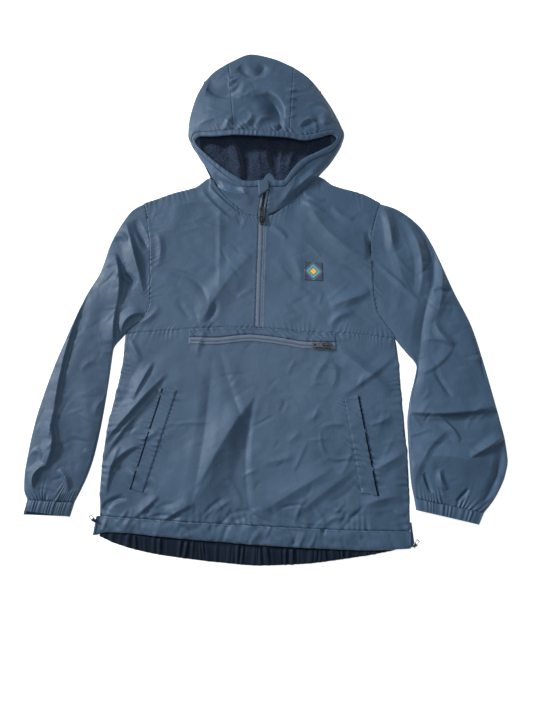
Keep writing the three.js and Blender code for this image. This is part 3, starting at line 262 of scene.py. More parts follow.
SLEEVE_CREASES = table(
    CREASE_COLUMNS,
    (257, 226, 279, 158, 271, 104, 9, 13, 1, -2.8), (272, 112, 258, 62, 248, 2, 8, 11, 1, -2.6),
    (236, 230, 256, 168, 252, 104, 14, 8, 1, 3.0), (277, 106, 291, 108, 305, 106, 4, 6, 1, -2.0),
    (187, 151, 215, 123, 247, 92, 4, 5, 1, 1.3), (274, 52, 286, 29, 305, 17, 7, 7, 1, 2.4),
    (257, 25, 281, 24, 301, 15, 9, 3, 1, 1.3), (301, 12, 281, -11, 251, -30, 3.5, 11, 1, 1.2),
    (270, -27, 282, -48, 293, -66, 4, 4, 1, -1.6), (228, -92, 289, -94, 367, -83, 14, 3.5, 1, 4.0),
    (240, -106, 297, -106, 366, -100, 7, 11, 1, -1.6), (263, -97, 287, -113, 302, -136, 3, 8, 1, 2.6),
    (371, -132, 345, -147, 319, -161, 4, 10, 0.6, 3.6), (287, -119, 247, -159, 230, -199, 6, 17, 1, 1.8),
    (250, -162, 294, -162, 360, -193, 13, 18, 1, 2.8), (246, -188, 250, -202, 255, -216, 2.5, 3, 1, -2.6),
    (312, -212, 303, -221, 294, -230, 2.5, 3, 1, -2.2), (338, 25, 347, -6, 352, -40, 3, 4, 1, -1.4),
    (289, 176, 290, 118, 276, 60, 7, 12, 1, 2.4), (369, -154, 355, -200, 332, -235, 6, 9, 1, -2.2),
    (194, 250, 210, 190, 226, 120, 12, 9, 1, 1.5), (248, 4, 239, -34, 227, -71, 9, 8, 1, -1.8),
    (199, 254, 206, 221, 208, 177, 10, 7, 1, 3.0), (277, -211, 270, -199, 269, -182, 5, 5, 1, 2.4),
    (-300, 96, -323, 4, -336, -104, 3.5, 17, 1, 3.8), (-336, -92, -338, -112, -339, -132, 4, 12, 1, 2.4),
    (-339, -112, -334, -145, -344, -178, 3.5, 13, 1, 3.4),
    (-344, -175, -358, -187, -361, -208, 3, 9, 1, 3.6), (-235, 221, -219, 168, -203, 106, 5, 13, 1, 4.2),
    (-222, 228, -210, 203, -199, 180, 6, 6, 1, -3.4), (-252, 168, -242, 130, -246, 79, 4, 22, 1, 5.2),
    (-246, 79, -248, 49, -248, 15, 3, 16, 1, 3.6), (-241, 133, -229, 127, -217, 116, 7, 7, 1, -4.0),
    (-202, 69, -226, 59, -236, 39, 3, 10, 1, 3.6), (-271, -97, -264, -77, -252, -67, 6, 7, 1, 1.2),
    (-321, -182, -311, -194, -306, -213, 5, 5, 1, 2.4),
    (-284, -152, -272, -161, -262, -176, 5, 5, 1, 1.5), (-296, -25, -284, -12, -268, -6, 6, 6, 1, 1.2),
    (-259, 198, -246, 202, -232, 195, 6, 6, 1, 2.4), (-368, -155, -360, -152, -350, -161, 5, 5, 1, 1.5),
)
HOOD_CREASES = table(
    CREASE_COLUMNS,
    (2, 458, 22, 431, 23, 400, 4.5, 24, 1, -12.5), (-48, 518, -36, 504, -18, 493, 9, 10, 1, -5.0),
    (-3, 520, -10, 506, -20, 498, 9, 9, 1, -4.6), (-103, 475, -79, 462, -48, 462, 17, 9, 1, -8.0),
    (-67, 498, -60, 487, -50, 493, 4, 4, 1, 2.0), (-67, 483, -58, 473, -50, 479, 4, 4, 1, 2.0),
    (-53, 454, -41, 452, -29, 458, 4, 5, 1, 1.5), (-128, 402, -95, 408, -56, 395, 13, 12, 1, 4.0),
    (57, 397, 76, 408, 86, 384, 7, 8, 1, 2.6), (34, 467, 43, 465, 51, 469, 4, 4, 1, 1.6),
    (34, 450, 42, 448, 53, 452, 4, 4, 1, 1.6), (30, 431, 41, 429, 51, 433, 4, 4, 1, 1.6),
    (32, 412, 40, 410, 49, 414, 4, 4, 1, 1.6), (92, 435, 101, 421, 102, 402, 9, 9, 1, 3.2),
    (103, 454, 110, 433, 116, 410, 6, 6, 1, 1.8), (-35, 391, -28, 402, -25, 416, 4, 5, 1, 2.6),
    (-18, 387, -11, 401, 3, 410, 5, 6, 1, 2.6), (-46, 421, -35, 425, -25, 418, 4, 5, 1, 1.4),
    (-92, 300, -66, 280, -36, 274, 3, 7, 1, 2.8), (-89, 309, -77, 278, -55, 252, 6, 7, 1, -3.4),
    (89, 307, 65, 278, 43, 256, 7, 7, 1, -4.0), (88, 318, 67, 300, 43, 278, 3, 7, 1, 2.8),
    (-52, 298, -40, 281, -28, 258, 6, 6, 1, 1.7), (50, 303, 40, 281, 19, 254, 6, 6, 1, 1.9),
    (-86, 306, -64, 292, -40, 284, 4, 7, 1, -3.2), (109, 338, 82, 310, 54, 278, 3, 9, 1, 3.0),
    (50, 282, 60, 270, 74, 276, 4, 5, 1, -2.4), (56, 290, 64, 280, 76, 290, 4, 4, 1, -2.0),
    (-73, 380, -68, 392, -59, 412, 5, 7, 1, 2.6), (-50, 382, -36, 396, -20, 400, 5, 6, 1, 2.6),
    (21, 382, 24, 392, 23, 403, 3, 5, 1, -4.0), (62, 389, 75, 402, 94, 407, 6, 7, 1, -3.0),
)
LINING_CREASES = table(
    CREASE_COLUMNS,
    (-44, 379, -39, 345, -37, 300, 8, 8, 1, -3.0), (-63, 378, -49, 348, -42, 310, 8, 7, 1, 3.6),
    (4, 379, 13, 350, 16, 305, 8, 8, 1, -3.0), (53, 378, 44, 350, 35, 320, 10, 10, 1, 3.2),
    (-77, 369, -67, 350, -52, 326, 7, 7, 1, -2.4), (29, 378, 25, 350, 21, 320, 7, 7, 1, 2.6),
    (-16, 380, -14, 350, -8, 312, 12, 12, 1, 2.4),
)


# Reading the tables


def read(rows, key, column, at):
    """A smooth line through a table, with no overshoot, read at values of its key column."""
    keys, values = rows[key], rows[column]
    spans = np.diff(keys)
    slopes = np.diff(values) / spans
    tangents = np.concatenate([slopes[:1], np.zeros(len(keys) - 2), slopes[-1:]])
    before, after = slopes[:-1], slopes[1:]
    same = before * after > 0
    tangents[1:-1][same] = (2 * before * after / np.where(same, before + after, 1))[same]
    at = np.asarray(at, float)
    i = np.clip(np.searchsorted(keys, at, side="right") - 1, 0, len(keys) - 2)
    t = np.clip((at - keys[i]) / spans[i], 0, 1)
    return (
        (2 * t**3 - 3 * t**2 + 1) * values[i]
        + (t**3 - 2 * t**2 + t) * spans[i] * tangents[i]
        + (3 * t**2 - 2 * t**3) * values[i + 1]
        + (t**3 - t**2) * spans[i] * tangents[i + 1]
    )


def lerp(a, b, t):
    return a + (b - a) * t


def upright(rows, start, end, shift=0.0):
    """An edge that follows a table of y and x from one y to another."""

    def edge(t):
        y = lerp(start, end, t)
        return np.array([read(rows, "y", "x", y) + shift, y])

    return edge


def across(rows, start=None, end=None, shift=0.0):
    """An edge that follows a table of x and y from one x to another, or from end to end."""
    start = rows["x"][0] if start is None else start
    end = rows["x"][-1] if end is None else end

    def edge(t):
        x = lerp(start, end, t)
        return np.array([x, read(rows, "x", "y", x) + shift])

    return edge


def read_all(rows, at):
    """All columns of a table, read at shares of the way through its rows."""
    count = len(next(iter(rows.values())))
    numbered = {**rows, "n": np.linspace(0, 1, count)}
    return {column: read(numbered, "n", column, at) for column in rows}


def through(rows):
    """An edge through all the points of a table."""
    return lambda t: np.array(list(read_all(rows, t).values()))


def straight(start, end):
    return lambda t: np.array([lerp(start[0], end[0], t), lerp(start[1], end[1], t)])


def between(bottom, top, left, right):
    """The plan of a panel between four edges, as a grid of x and y at given u and v."""

    def grid(u, v):
        zero, one = np.zeros(1), np.ones(1)
        across_v = lerp(bottom(u)[:, None, :], top(u)[:, None, :], v[None, :, None])
        across_u = lerp(left(v)[:, :, None], right(v)[:, :, None], u[None, None, :])
        low = lerp(bottom(zero)[:, :, None], bottom(one)[:, :, None], u[None, None, :])
        high = lerp(top(zero)[:, :, None], top(one)[:, :, None], u[None, None, :])
        return across_v + across_u - lerp(low, high, v[None, :, None])

    return grid


def strip_plan(foot, head):
    """The plan of a straight strip between two ends, each given from left to right."""
    return between(
        bottom=straight(*foot), top=straight(*head), left=straight(foot[0], head[0]),
        right=straight(foot[1], head[1]),
    )


# Heights of the cloth


def dome(s):
    return 1 - (2 * np.clip(s, 0, 1) - 1) ** 4


def folds_at(folds, x, y):
    """How high the large folds of a table lift the cloth."""
    lift = np.zeros_like(x)
    for x0, y0, x1, y1, bow, width, height in zip(*folds.values()):
        dx, dy = x1 - x0, y1 - y0
        length = math.hypot(dx, dy)
        along = ((x - x0) * dx + (y - y0) * dy) / length**2
        aside = ((y - y0) * dx - (x - x0) * dy) / length - bow * 4 * along * (1 - along)
        taper = np.sin(np.pi * np.clip((along + 0.15) / 1.3, 0, 1))
        lift += height * taper * np.exp(-((aside / width) ** 2))
    return lift


def creases_at(creases, x, y, strength=1.0):
    """How high the creases of a table lift the cloth, each a crisp line between flat sides."""
    lift = np.zeros_like(x)
    for x0, y0, xm, ym, x1, y1, left, right, fan, height in zip(*creases.values()):
        dx, dy = x1 - x0, y1 - y0
        length = math.hypot(dx, dy)
        middle = ((xm - x0) * dx + (ym - y0) * dy) / length**2
        offset = ((ym - y0) * dx - (xm - x0) * dy) / length
        along = ((x - x0) * dx + (y - y0) * dy) / length**2
        bent = offset * along * (1 - along) / (middle * (1 - middle))
        aside = ((y - y0) * dx - (x - x0) * dy) / length - bent
        width = np.where(aside > 0, left, right) * np.clip(lerp(1, fan, along), 0.3, None)
        taper = np.sin(np.pi * np.clip((along + 0.05) / 1.1, 0, 1)) ** 0.7
        away = (np.sqrt(aside**2 + CREASE_RADIUS**2) - CREASE_RADIUS) / width
        lift += strength * height * taper * np.clip(1 - away / CREASE_REACH, 0, 1) ** CREASE_CURVE
    return lift


def strewn(seed, box, count):
    """Short faint creases strewn over a box, as cloth that has been worn keeps them."""
    rng = np.random.default_rng(seed)
    rows = []
    for _ in range(count):
        x, y = rng.uniform(box[0], box[2]), rng.uniform(box[1], box[3])
        angle, reach = rng.uniform(-0.4, 1.3), rng.uniform(8, 26)
        if rng.random() < 0.35:
            angle = math.pi - angle
        dx, dy = reach * math.cos(angle), reach * math.sin(angle)
        bow = rng.uniform(-0.18, 0.18)
        height = rng.uniform(0.3, 0.9) * rng.choice((-1, 1))
        left, right = rng.uniform(2.0, 4.6, 2)
        rows.append((x - dx, y - dy, x - bow * dy, y + bow * dx, x + dx, y + dy, left, right, 1, height))
    return table(CREASE_COLUMNS, *rows)


def zigzag(phase):
    """A wave with straight flanks."""
    return 2 / math.pi * np.arcsin(0.985 * np.sin(phase))


def crumple(x, y, seed, size=0.5, wave=46.0):
    """Shallow facets that meet in crisp lines and run every way, as thin nylon keeps them."""
    rng = np.random.default_rng(seed)
    lift = np.zeros_like(x)
    for _ in range(12):
        angle, phase = rng.uniform(0, math.pi), rng.uniform(0, 2 * math.pi)
        share = rng.uniform(0.35, 1.6)
        k = 2 * math.pi / (wave * share)
        along = x * math.cos(angle) + y * math.sin(angle)
        aside = y * math.cos(angle) - x * math.sin(angle)
        bend = 7 * np.sin(aside * k * 0.43 + phase) + 4 * np.sin(aside * k * 0.91 - phase)
        reach = np.clip(np.sin(aside * k * 0.29 + 2 * phase) + 0.7 * np.sin(along * k * 0.23 + phase), 0, 1)
        lift += share * reach * zigzag((along + bend) * k + phase)
    return size * lift * 0.55


def crinkle(run, aside, wave):
    """Uneven slanted ripples along a narrow stitched band."""
    drift = 1.9 * np.sin(run / 15) + 1.2 * np.sin(run / 6.1 + 1) + 0.9 * np.sin(aside / 3 + run / 23)
    depth = 0.2 + 0.8 * np.abs(np.sin(run / 21 + 0.5) * np.sin(run / 8.3))
    return depth * zigzag(2 * np.pi * run / wave + 0.5 * aside + drift)


def pucker(distance, along, size, reach, wave=9.0):
    """Short uneven ripples that a seam's stitching draws into the cloth beside it."""
    slant = 0.35 * distance / wave * np.sin(along / 37 + 1.3)
    phase = along / wave + 0.9 * np.sin(along / 31) + 0.6 * np.sin(along / 13 + 1) + slant
    depth = 0.3 + 0.7 * np.abs(np.sin(along / 23 + 2) * np.sin(along / 9.7 + 0.4))
    far = reach * (0.6 + 0.8 * np.abs(np.sin(along / 17)))
    return size * depth * np.exp(-np.clip(distance, 0, None) / far) * zigzag(2 * np.pi * phase)


def body_base(x, y):
    """The body's top layer, as its solids have it."""
    left = read(SIDE_R, "y", "x", y)
    right = read(SIDE_L, "y", "x", y)
    s = np.clip((x - left) / (right - left), 0, 1)
    underarm = np.where(s < 0.5, UNDERARM_R, UNDERARM_L)
    armhole = np.where(y > underarm, dome((y - underarm) / (SHOULDER_Y - underarm)), 0)
    shoulder = np.where(x < ZIP_NECK, read(SHOULDER_R, "x", "y", x), read(SHOULDER_L, "x", "y", x))
    below = np.where((x > NECK_R) & (x < NECK_L), 60, shoulder - y)
    fade = np.clip(below / 40, 0, 1)
    rounded = fade * (2 - fade)
    inside = np.clip(np.minimum(x - left, right - x) / 12, 0, 1)
    flat = np.maximum(armhole, inside * (2 - inside))
    base = LOFT * lerp(armhole, 1, dome(s)) * rounded
    return EDGE + np.maximum(0, base + FOLD_SHARE * folds_at(FOLDS, x, y) * flat * rounded)


def welt_puckers(x, y):
    """Ripples across the long stitched edges of the slanted pocket welts."""
    lift = np.zeros_like(x)
    for ends in WELTS.values():
        for foot, head in zip(ends["foot"], ends["head"]):
            along = np.clip((y - foot[1]) / (head[1] - foot[1]), 0, 1)
            aside = np.abs(x - lerp(foot[0], head[0], along))
            beyond = np.maximum(np.maximum(foot[1] - y, y - head[1]), 0)
            lift += pucker(aside + 2 * beyond, y + 0.5 * x, 2.6, 5, 9)
    return lift


def body_top(x, y):
    """The body's top layer with its creases."""
    x, y = np.asarray(x, float), np.asarray(y, float)
    fine = creases_at(FRONT_CREASES, x, y, STRENGTH["front"])
    fine = fine + creases_at(FRONT_STREWN, x, y, STRENGTH["front_strewn"])
    fine = fine + creases_at(GATHER_STREWN, x, y, STRENGTH["gathers"]) + welt_puckers(x, y)
    return np.maximum(body_base(x, y) + fine + crumple(x, y, 4, 0.7), EDGE - 2)


def zip_line(x, y):
    """Height of the half zip, on the body and then up the collar."""
    x, y = np.asarray(x, float), np.asarray(y, float)
    u = np.clip((COLLAR_TOP - y) / (COLLAR_TOP - NECK_Y), 0, 1)
    collar = EDGE + LOFT + (COLLAR_HEIGHT - EDGE - LOFT) * (1 - u**1.6)
    return np.where(y <= NECK_Y, np.minimum(body_base(x, y), EDGE + LOFT + 2), collar)


FRONT_STREWN = strewn(7, (-240, -250, 205, 255), 130)
SLEEVE_STREWN_R = strewn(8, (-370, -220, -220, 240), 70)
SLEEVE_STREWN_L = strewn(9, (215, -230, 370, 240), 70)
HEM_STREWN = strewn(13, (-250, -298, 212, -262), 70)
GATHER_STREWN = strewn(14, (-250, -262, 212, -236), 60)
HOOD_STREWN = strewn(10, (-125, 390, 125, 530), 34)


# Making meshes


def to_metres(points):
    """Millimetres of the tables as metres of the part's frame."""
    moved = np.array(points, float)
    moved[..., 0] -= CENTRE[0]
    moved[..., 1] -= CENTRE[1]
    return moved * MM


def make_object(name, vertices, faces, finish):
    """A mesh object that rides on the garment's body."""
    mesh = bpy.data.meshes.new(name)
    mesh.from_pydata(vertices.tolist(), [], faces.tolist())
    mesh.polygons.foreach_set("use_smooth", [True] * len(mesh.polygons))
    mesh.materials.append(finish)
    obj = bpy.data.objects.new(name, mesh)
    bpy.context.scene.collection.objects.link(obj)
    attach(obj, "garment")
    return obj


def grid_faces(rows, columns, tube=False):
    """Four-sided faces of a grid, whose last column may join its first."""
    spans = columns if tube else columns - 1
    row, column = np.meshgrid(np.arange(rows - 1), np.arange(spans), indexing="ij")
    following = (column + 1) % columns
    corners = [
        row * columns + column, row * columns + following,
        (row + 1) * columns + following, (row + 1) * columns + column,
    ]
    return np.stack([c.ravel() for c in corners], axis=1)


def make_cloth(name, points, finish, tube=False, inwards=False):
    """A cloth surface through a grid of points, its front up unless it faces inwards."""
    rows, columns = points.shape[:2]
    faces = grid_faces(rows, columns, tube)
    vertices = points.reshape(-1, 3)
    if faces_down(vertices, faces) != inwards:
        faces = faces[:, ::-1]
    return make_object(name, to_metres(vertices), faces, finish)


def faces_down(vertices, faces):
    """True if a surface's faces look down on the whole, by the height they enclose."""
    a, b, c, d = (vertices[faces[:, k]] for k in range(4))
    normals = np.cross(c - a, d - b)
    high = (a + c)[:, 2] / 2 > np.median(vertices[:, 2]) - 0.5
    return normals[high, 2].sum() < 0


def lines(size, step=STEP, fine=(0.5, 1.1, 1.9, 2.9)):
    """Places across a panel from 0 to 1, closer together at both of its edges."""
    near = np.array([0.0, *fine]) / size
    count = max(2, round(size * (1 - 2 * near[-1]) / step))
    return np.concatenate([near[:-1], np.linspace(near[-1], 1 - near[-1], count), 1 - near[:-1][::-1]])


def run_lengths(points, axis):
    """Distance along the grid lines from their first points."""
    steps = np.linalg.norm(np.diff(points, axis=axis), axis=-1)
    zero = np.zeros_like(np.take(steps, [0], axis=axis))
    return np.concatenate([zero, np.cumsum(steps, axis=axis)], axis=axis)


def rolled(distance):
    """How far a rolled edge has dropped at a distance from its outline."""
    inward = np.clip(1 - distance / RADIUS, 0, 1)
    return RADIUS * (1 - np.sqrt(np.clip(1 - inward**2, 0, 1)))


def edge_distances(plan_points):
    """Distances of each grid point from the four edges."""
    along_u = run_lengths(plan_points, axis=1)
    along_v = run_lengths(plan_points, axis=0)
    return {
        "left": along_u,
        "right": along_u[:, -1:] - along_u,
        "bottom": along_v,
        "top": along_v[-1:, :] - along_v,
    }


def panel_points(plan, size, height, seams=(), sides=(), ripples=(), step=STEP):
    """Points of a panel: it sinks into its seams, given as (edge, depth), rolls down at the
    garment's sides, and ripples beside some seams, given as (edge, size, reach, wave)."""
    plan_points = np.moveaxis(plan(lines(size[0], step), lines(size[1], step)), 0, -1)
    x, y = plan_points[..., 0], plan_points[..., 1]
    z = height(x, y)
    away = edge_distances(plan_points)
    for edge, depth in seams:
        z = z - depth * np.exp(-((away[edge] / 0.9) ** 2))
        z = z + 0.4 * depth * np.exp(-(((away[edge] - 3) / 2) ** 2))
    for edge, amount, reach, wave in ripples:
        run = away["left"] if edge in ("bottom", "top") else away["bottom"]
        z = z + pucker(away[edge], run, amount, reach, wave)
    for edge in sides:
        z = z - rolled(away[edge])
        run = away["bottom"]
        sway = np.sin(run / 8 + 1.5 * np.sin(run / 31)) + 0.4 * np.sin(run / 3.1)
        x = x + 0.8 * np.exp(-away[edge] / 5) * sway
    return np.dstack([x, y, z])


def floor_points(plan, size):
    """Points of a layer that lies on the floor and rolls up at its sides and top."""
    points = panel_points(plan, size, lambda x, y: np.full_like(x, LOWEST), step=HIDDEN_STEP)
    away = edge_distances(points[..., :2])
    for edge in ("left", "right", "top"):
        points[..., 2] += rolled(away[edge])
    return points


def place_of(face):
    """A face's middle in the tables' millimetres."""
    return [v / MM + c for v, c in zip(face.center[:2], CENTRE)]


# Materials


def srgb(red, green, blue):
    """A colour given as 0 to 255 in sRGB, as linear values with alpha."""

    def linear(c):
        c /= 255
        return c / 12.92 if c <= 0.04045 else ((c + 0.055) / 1.055) ** 2.4

    return (linear(red), linear(green), linear(blue), 1.0)


class Nodes:
    """A material under construction."""

    def __init__(self, name):
        self.material = bpy.data.materials.new(name)
        self.material.use_nodes = True
        self.tree = self.material.node_tree
        self.shader = self.tree.nodes["Principled BSDF"]
        self.coordinates = self.tree.nodes.new("ShaderNodeTexCoord").outputs["Object"]

    def node(self, kind, inputs=(), **settings):
        made = self.tree.nodes.new(kind)
        for key, value in settings.items():
            setattr(made, key, value)
        for key, value in dict(inputs).items():
            self.put(made.inputs[key], value)
        return made

    def put(self, socket, value):
        if isinstance(value, bpy.types.NodeSocket):
            self.tree.links.new(value, socket)
        else:
            socket.default_value = value

    def noise(self, scale, detail=3.0, **extra):
        made = self.node(
            "ShaderNodeTexNoise", {"Vector": self.coordinates, "Scale": scale, "Detail": detail, **extra}
        )
        return made.outputs["Fac"]

    def math(self, operation, a, b=0.0):
        return self.node("ShaderNodeMath", {0: a, 1: b}, operation=operation).outputs[0]

    def mix(self, factor, first, second):
        made = self.node("ShaderNodeMix", {"Factor": factor}, data_type="RGBA")
        self.put(made.inputs[6], first)
        self.put(made.inputs[7], second)
        return made.outputs[2]

    def ramp(self, value, low, high):
        made = self.node(
            "ShaderNodeMapRange",
            {"Value": value, "From Min": 0.3, "From Max": 0.7, "To Min": low, "To Max": high},
        )
        return made.outputs[0]

    def weave(self, period):
        """Threads over and under each other, by the place on the surface."""
        scale = 0.314 / period
        waves = [
            self.node("ShaderNodeTexWave", {"Vector": self.coordinates, "Scale": scale}, bands_direction=d)
            for d in ("X", "Y")
        ]
        return self.math("MULTIPLY", waves[0].outputs["Fac"], waves[1].outputs["Fac"])

    def bump(self, height, distance, after=None, strength=1.0):
        made = self.node("ShaderNodeBump", {"Height": height, "Distance": distance, "Strength": strength})
        if after is not None:
            self.put(made.inputs["Normal"], after)
        return made.outputs["Normal"]

    def finish(self, **sockets):
        for key, value in sockets.items():
            self.put(self.shader.inputs[key.replace("_", " ")], value)
        return self.material


def nylon(name, light, dark, gloss=0.35):
    """Thin woven nylon: a fine weave, small crinkles and a soft sheen."""
    m = Nodes(name)
    patches = m.ramp(m.noise(14, 2.0), 0.0, 1.0)
    threads = m.math("MULTIPLY", m.ramp(m.noise(1400, 1.0), 0.0, 1.0), 0.35)
    colour = m.mix(m.math("ADD", m.math("MULTIPLY", patches, 0.5), threads), dark, light)
    normal = m.bump(m.noise(95, 4.0, Distortion=0.8), 0.0007, strength=0.5)
    normal = m.bump(m.noise(260, 3.0), 0.0004, after=normal, strength=0.5)
    normal = m.bump(m.weave(0.0007), 0.00008, after=normal, strength=0.5)
    return m.finish(
        Base_Color=colour,
        Roughness=m.ramp(m.noise(60), 0.5, 0.62),
        Normal=normal,
        Sheen_Weight=0.06,
        Sheen_Roughness=0.4,
        Specular_IOR_Level=gloss,
        Sheen_Tint=srgb(150, 175, 205),
    )


def fleece(name):
    """Deep-pile dark lining."""
    m = Nodes(name)
    tufts = m.noise(420, 3.0)
    colour = m.mix(m.ramp(tufts, 0.0, 1.0), srgb(10, 19, 34), srgb(38, 59, 88))
    normal = m.bump(tufts, 0.0018)
    normal = m.bump(m.noise(130, 2.0), 0.0015, after=normal)
    return m.finish(
        Base_Color=colour, Roughness=0.95, Normal=normal, Sheen_Weight=0.12, Sheen_Roughness=0.6,
        Specular_IOR_Level=0.2,
    )


def zip_cloth(name, colour):
    """Woven zip tape with its fine ribs."""
    m = Nodes(name)
    ribs = m.weave(0.0011)
    shade = m.mix(m.math("MULTIPLY", m.noise(900), 0.6), colour, tuple(0.55 * c for c in colour[:3]) + (1,))
    return m.finish(Base_Color=shade, Roughness=0.75, Normal=m.bump(ribs, 0.0002))


def thread(name, colour):
    """Twisted sewing thread."""
    m = Nodes(name)
    twist = m.noise(2600, 1.0)
    shade = m.mix(twist, colour, tuple(0.7 * c for c in colour[:3]) + (1,))
    return m.finish(Base_Color=shade, Roughness=0.6, Normal=m.bump(twist, 0.0001), Sheen_Weight=0.2)


def painted(name, colour, metallic, roughness):
    """Painted or plated hardware, worn lighter in random patches."""
    m = Nodes(name)
    wear = m.math("MULTIPLY", m.ramp(m.noise(700, 4.0), 0.0, 1.0), 0.3)
    shade = m.mix(wear, colour, tuple(min(1, 2.2 * c + 0.03) for c in colour[:3]) + (1,))
    return m.finish(
        Base_Color=shade,
        Metallic=metallic,
        Roughness=m.ramp(m.noise(900, 3.0), roughness, roughness + 0.18),
        Normal=m.bump(m.noise(1500), 0.00005),
    )


SHELL = nylon("shell_nylon", srgb(71, 96, 122), srgb(57, 81, 105))
# Shell nylon darkened well below SHELL as painted shade, for the back hem's inside under the front hem and
# the depth of the open zip's gap
SHELL_PAINTED_SHADE = nylon("shell_inside_painted_shade", srgb(29, 42, 58), srgb(17, 27, 40), 0.08)
# Painted shade for the dark slits of the pocket openings
SLIT_PAINTED_SHADE = nylon("pocket_slit_painted_shade", srgb(20, 33, 48), srgb(12, 22, 34), 0.02)
FLEECE = fleece("lining_fleece")
TAPE = zip_cloth("zip_tape", srgb(103, 119, 141))
COIL = zip_cloth("zip_coil", srgb(90, 104, 124))
THREAD = thread("topstitch_thread", srgb(62, 82, 106))
PLATED = painted("dark_plated", srgb(54, 56, 62), 0.5, 0.34)
WIRE = painted("bent_wire", srgb(120, 122, 128), 0.9, 0.28)
LABEL_BASE = zip_cloth("label_ground", srgb(58, 76, 98))
LABEL_ORANGE = thread("label_orange", srgb(250, 190, 70))
LABEL_TEAL = thread("label_teal", srgb(92, 164, 182))
LABEL_GREY = thread("label_grey", srgb(120, 134, 150))


# Stitches


def stitch_line(points, lift=0.25):
    """Vertices and faces of a row of stitches along a line of points."""
    steps = np.linalg.norm(np.diff(points, axis=0), axis=1)
    run = np.concatenate([[0], np.cumsum(steps)])
    starts = np.arange(STITCH_PITCH / 2, run[-1] - STITCH_LENGTH, STITCH_PITCH)

    def at(distance):
        return np.stack([np.interp(distance, run, points[:, k]) for k in range(3)], axis=1)

    low, high = at(starts), at(starts + STITCH_LENGTH)
    way = (high - low) / np.linalg.norm(high - low, axis=1, keepdims=True)
    side = np.cross([0.0, 0.0, 1.0], way)
    up = np.array([0.0, 0.0, 1.0])
    middle = (low + high) / 2 + up * lift
    ring = [middle + side * 0.32, middle + up * 0.3, middle - side * 0.32, middle - up * 0.5]
    corners = np.stack([low, *ring, high], axis=1)
    pattern = [(0, 2, 1), (0, 3, 2), (0, 4, 3), (0, 1, 4), (5, 1, 2), (5, 2, 3), (5, 3, 4), (5, 4, 1)]
    faces = np.arange(len(starts))[:, None, None] * 6 + np.array(pattern)[None]
    return corners.reshape(-1, 3), faces.reshape(-1, 3)


def make_stitches(name, paths):
    """All the stitches of one kind as one piece."""
    vertices, faces, count = [], [], 0
    for path in paths:
        more, sides = stitch_line(path)
        vertices.append(more)
        faces.append(sides + count)
        count += len(more)
    return make_object(name, to_metres(np.vstack(vertices)), np.vstack(faces), THREAD)


def on_body(edge, inset=0.0, lift=0.0):
    """A line on the body's top layer, along an edge moved by an inset towards the hood."""
    x, y = edge(np.linspace(0, 1, 240))
    return np.stack([x, y + inset, body_top(x, y + inset) + lift], axis=1)


# The body


def shoulder_of(side):
    if side == "r":
        return across(SHOULDER_R, end=ZIP_NECK - HALF_ZIP)
    return across(SHOULDER_L, start=ZIP_NECK + HALF_ZIP)


def make_front_uppers():
    right_plan = between(
        bottom=across(CHEST_SEAM, end=ZIP_FOOT - HALF_ZIP),
        top=shoulder_of("r"),
        left=upright(SIDE_R, UNDERARM_R, SHOULDER_Y),
        right=upright(FRONT_ZIP, 45, 238, -HALF_ZIP),
    )
    left_plan = between(
        bottom=across(CHEST_SEAM, start=ZIP_FOOT + HALF_ZIP),
        top=shoulder_of("l"),
        left=upright(FRONT_ZIP, 45, 238, HALF_ZIP),
        right=upright(SIDE_L, UNDERARM_L, SHOULDER_Y),
    )
    ripples = {
        "r": (("bottom", 0.7, 7, 8), ("left", 0.9, 9, 9), ("right", 0.5, 5, 9), ("top", 0.8, 12, 9)),
        "l": (("bottom", 0.9, 8, 8), ("right", 0.9, 9, 9), ("left", 0.5, 5, 9), ("top", 0.8, 12, 9)),
    }
    seams = (("bottom", 0.4), ("top", 0.5), ("left", 0.5), ("right", 0.5))
    for side, plan in (("r", right_plan), ("l", left_plan)):
        points = panel_points(plan, (205, 225), body_top, seams=seams, ripples=ripples[side])
        obj = make_cloth(f"front_upper_{side}_cloth", points, SHELL)
        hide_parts(f"front_upper_{side}")


def make_front_lower():
    plan = between(
        bottom=across(FRONT_HEM_SEAM),
        top=across(CHEST_SEAM),
        left=upright(SIDE_R, -251, UNDERARM_R),
        right=upright(SIDE_L, -274, UNDERARM_L),
    )
    points = panel_points(
        plan, (460, 300), body_top, seams=(("bottom", 0.6), ("top", 0.4)), sides=("left", "right"),
        ripples=(
            ("bottom", 1.3, 13, 19), ("top", 1.0, 8, 8), ("left", 1.5, 11, 12), ("right", 1.5, 11, 13)
        ),
    )
    obj = make_cloth("front_lower_cloth", points, SHELL)
    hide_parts("front_lower")


def band_points(low, high, profile, height, count):
    """A band swept between two edges. Its profile is a table of distance from the low edge
    and height over the surface, stretched to the band's width."""
    t = np.linspace(0, 1, count)
    start, end = low(t), high(t)
    width = np.hypot(*(end - start))
    rows = []
    for distance, lift in profile:
        share = distance / profile[-1][0] * (width - SEAM) / width
        x, y = lerp(start, end, share)
        rows.append(np.stack([x, y, height(x, y) + lift], axis=1))
    return np.array(rows)


HEM_PROFILE = (
    (5, -4.6), (2, -4.4), (0.7, -3.9), (0, -2.6), (0.1, -1.2), (0.9, -0.2), (2.4, 0.5), (5, 0.9),
    (8, 1.1), (12, 1.2), (16, 1.2), (20, 1.1), (23, 0.9), (25.3, 0.4), (26.4, -0.4),
)


def make_front_hem():
    def height(x, y):
        fine = creases_at(HEM_STREWN, x, y, STRENGTH["hem"])
        return body_top(x, y) + fine + 1.1 * crinkle(x, y, 19)

    points = band_points(
        across(FRONT_HEM_EDGE), across(FRONT_HEM_SEAM), HEM_PROFILE, height, 420
    )
    obj = make_cloth("front_hem_band", points, SHELL)
    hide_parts("hem_front")


def make_back():
    plan = between(
        bottom=across(BACK_HEM_EDGE, shift=BACK_HEM),
        top=back_top_edge,
        left=upright(SIDE_R, -258, SHOULDER_Y),
        right=upright(SIDE_L, -272, SHOULDER_Y),
    )
    obj = make_cloth("back_cloth", floor_points(plan, (430, 540)), SHELL, inwards=True)
    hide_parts("back")


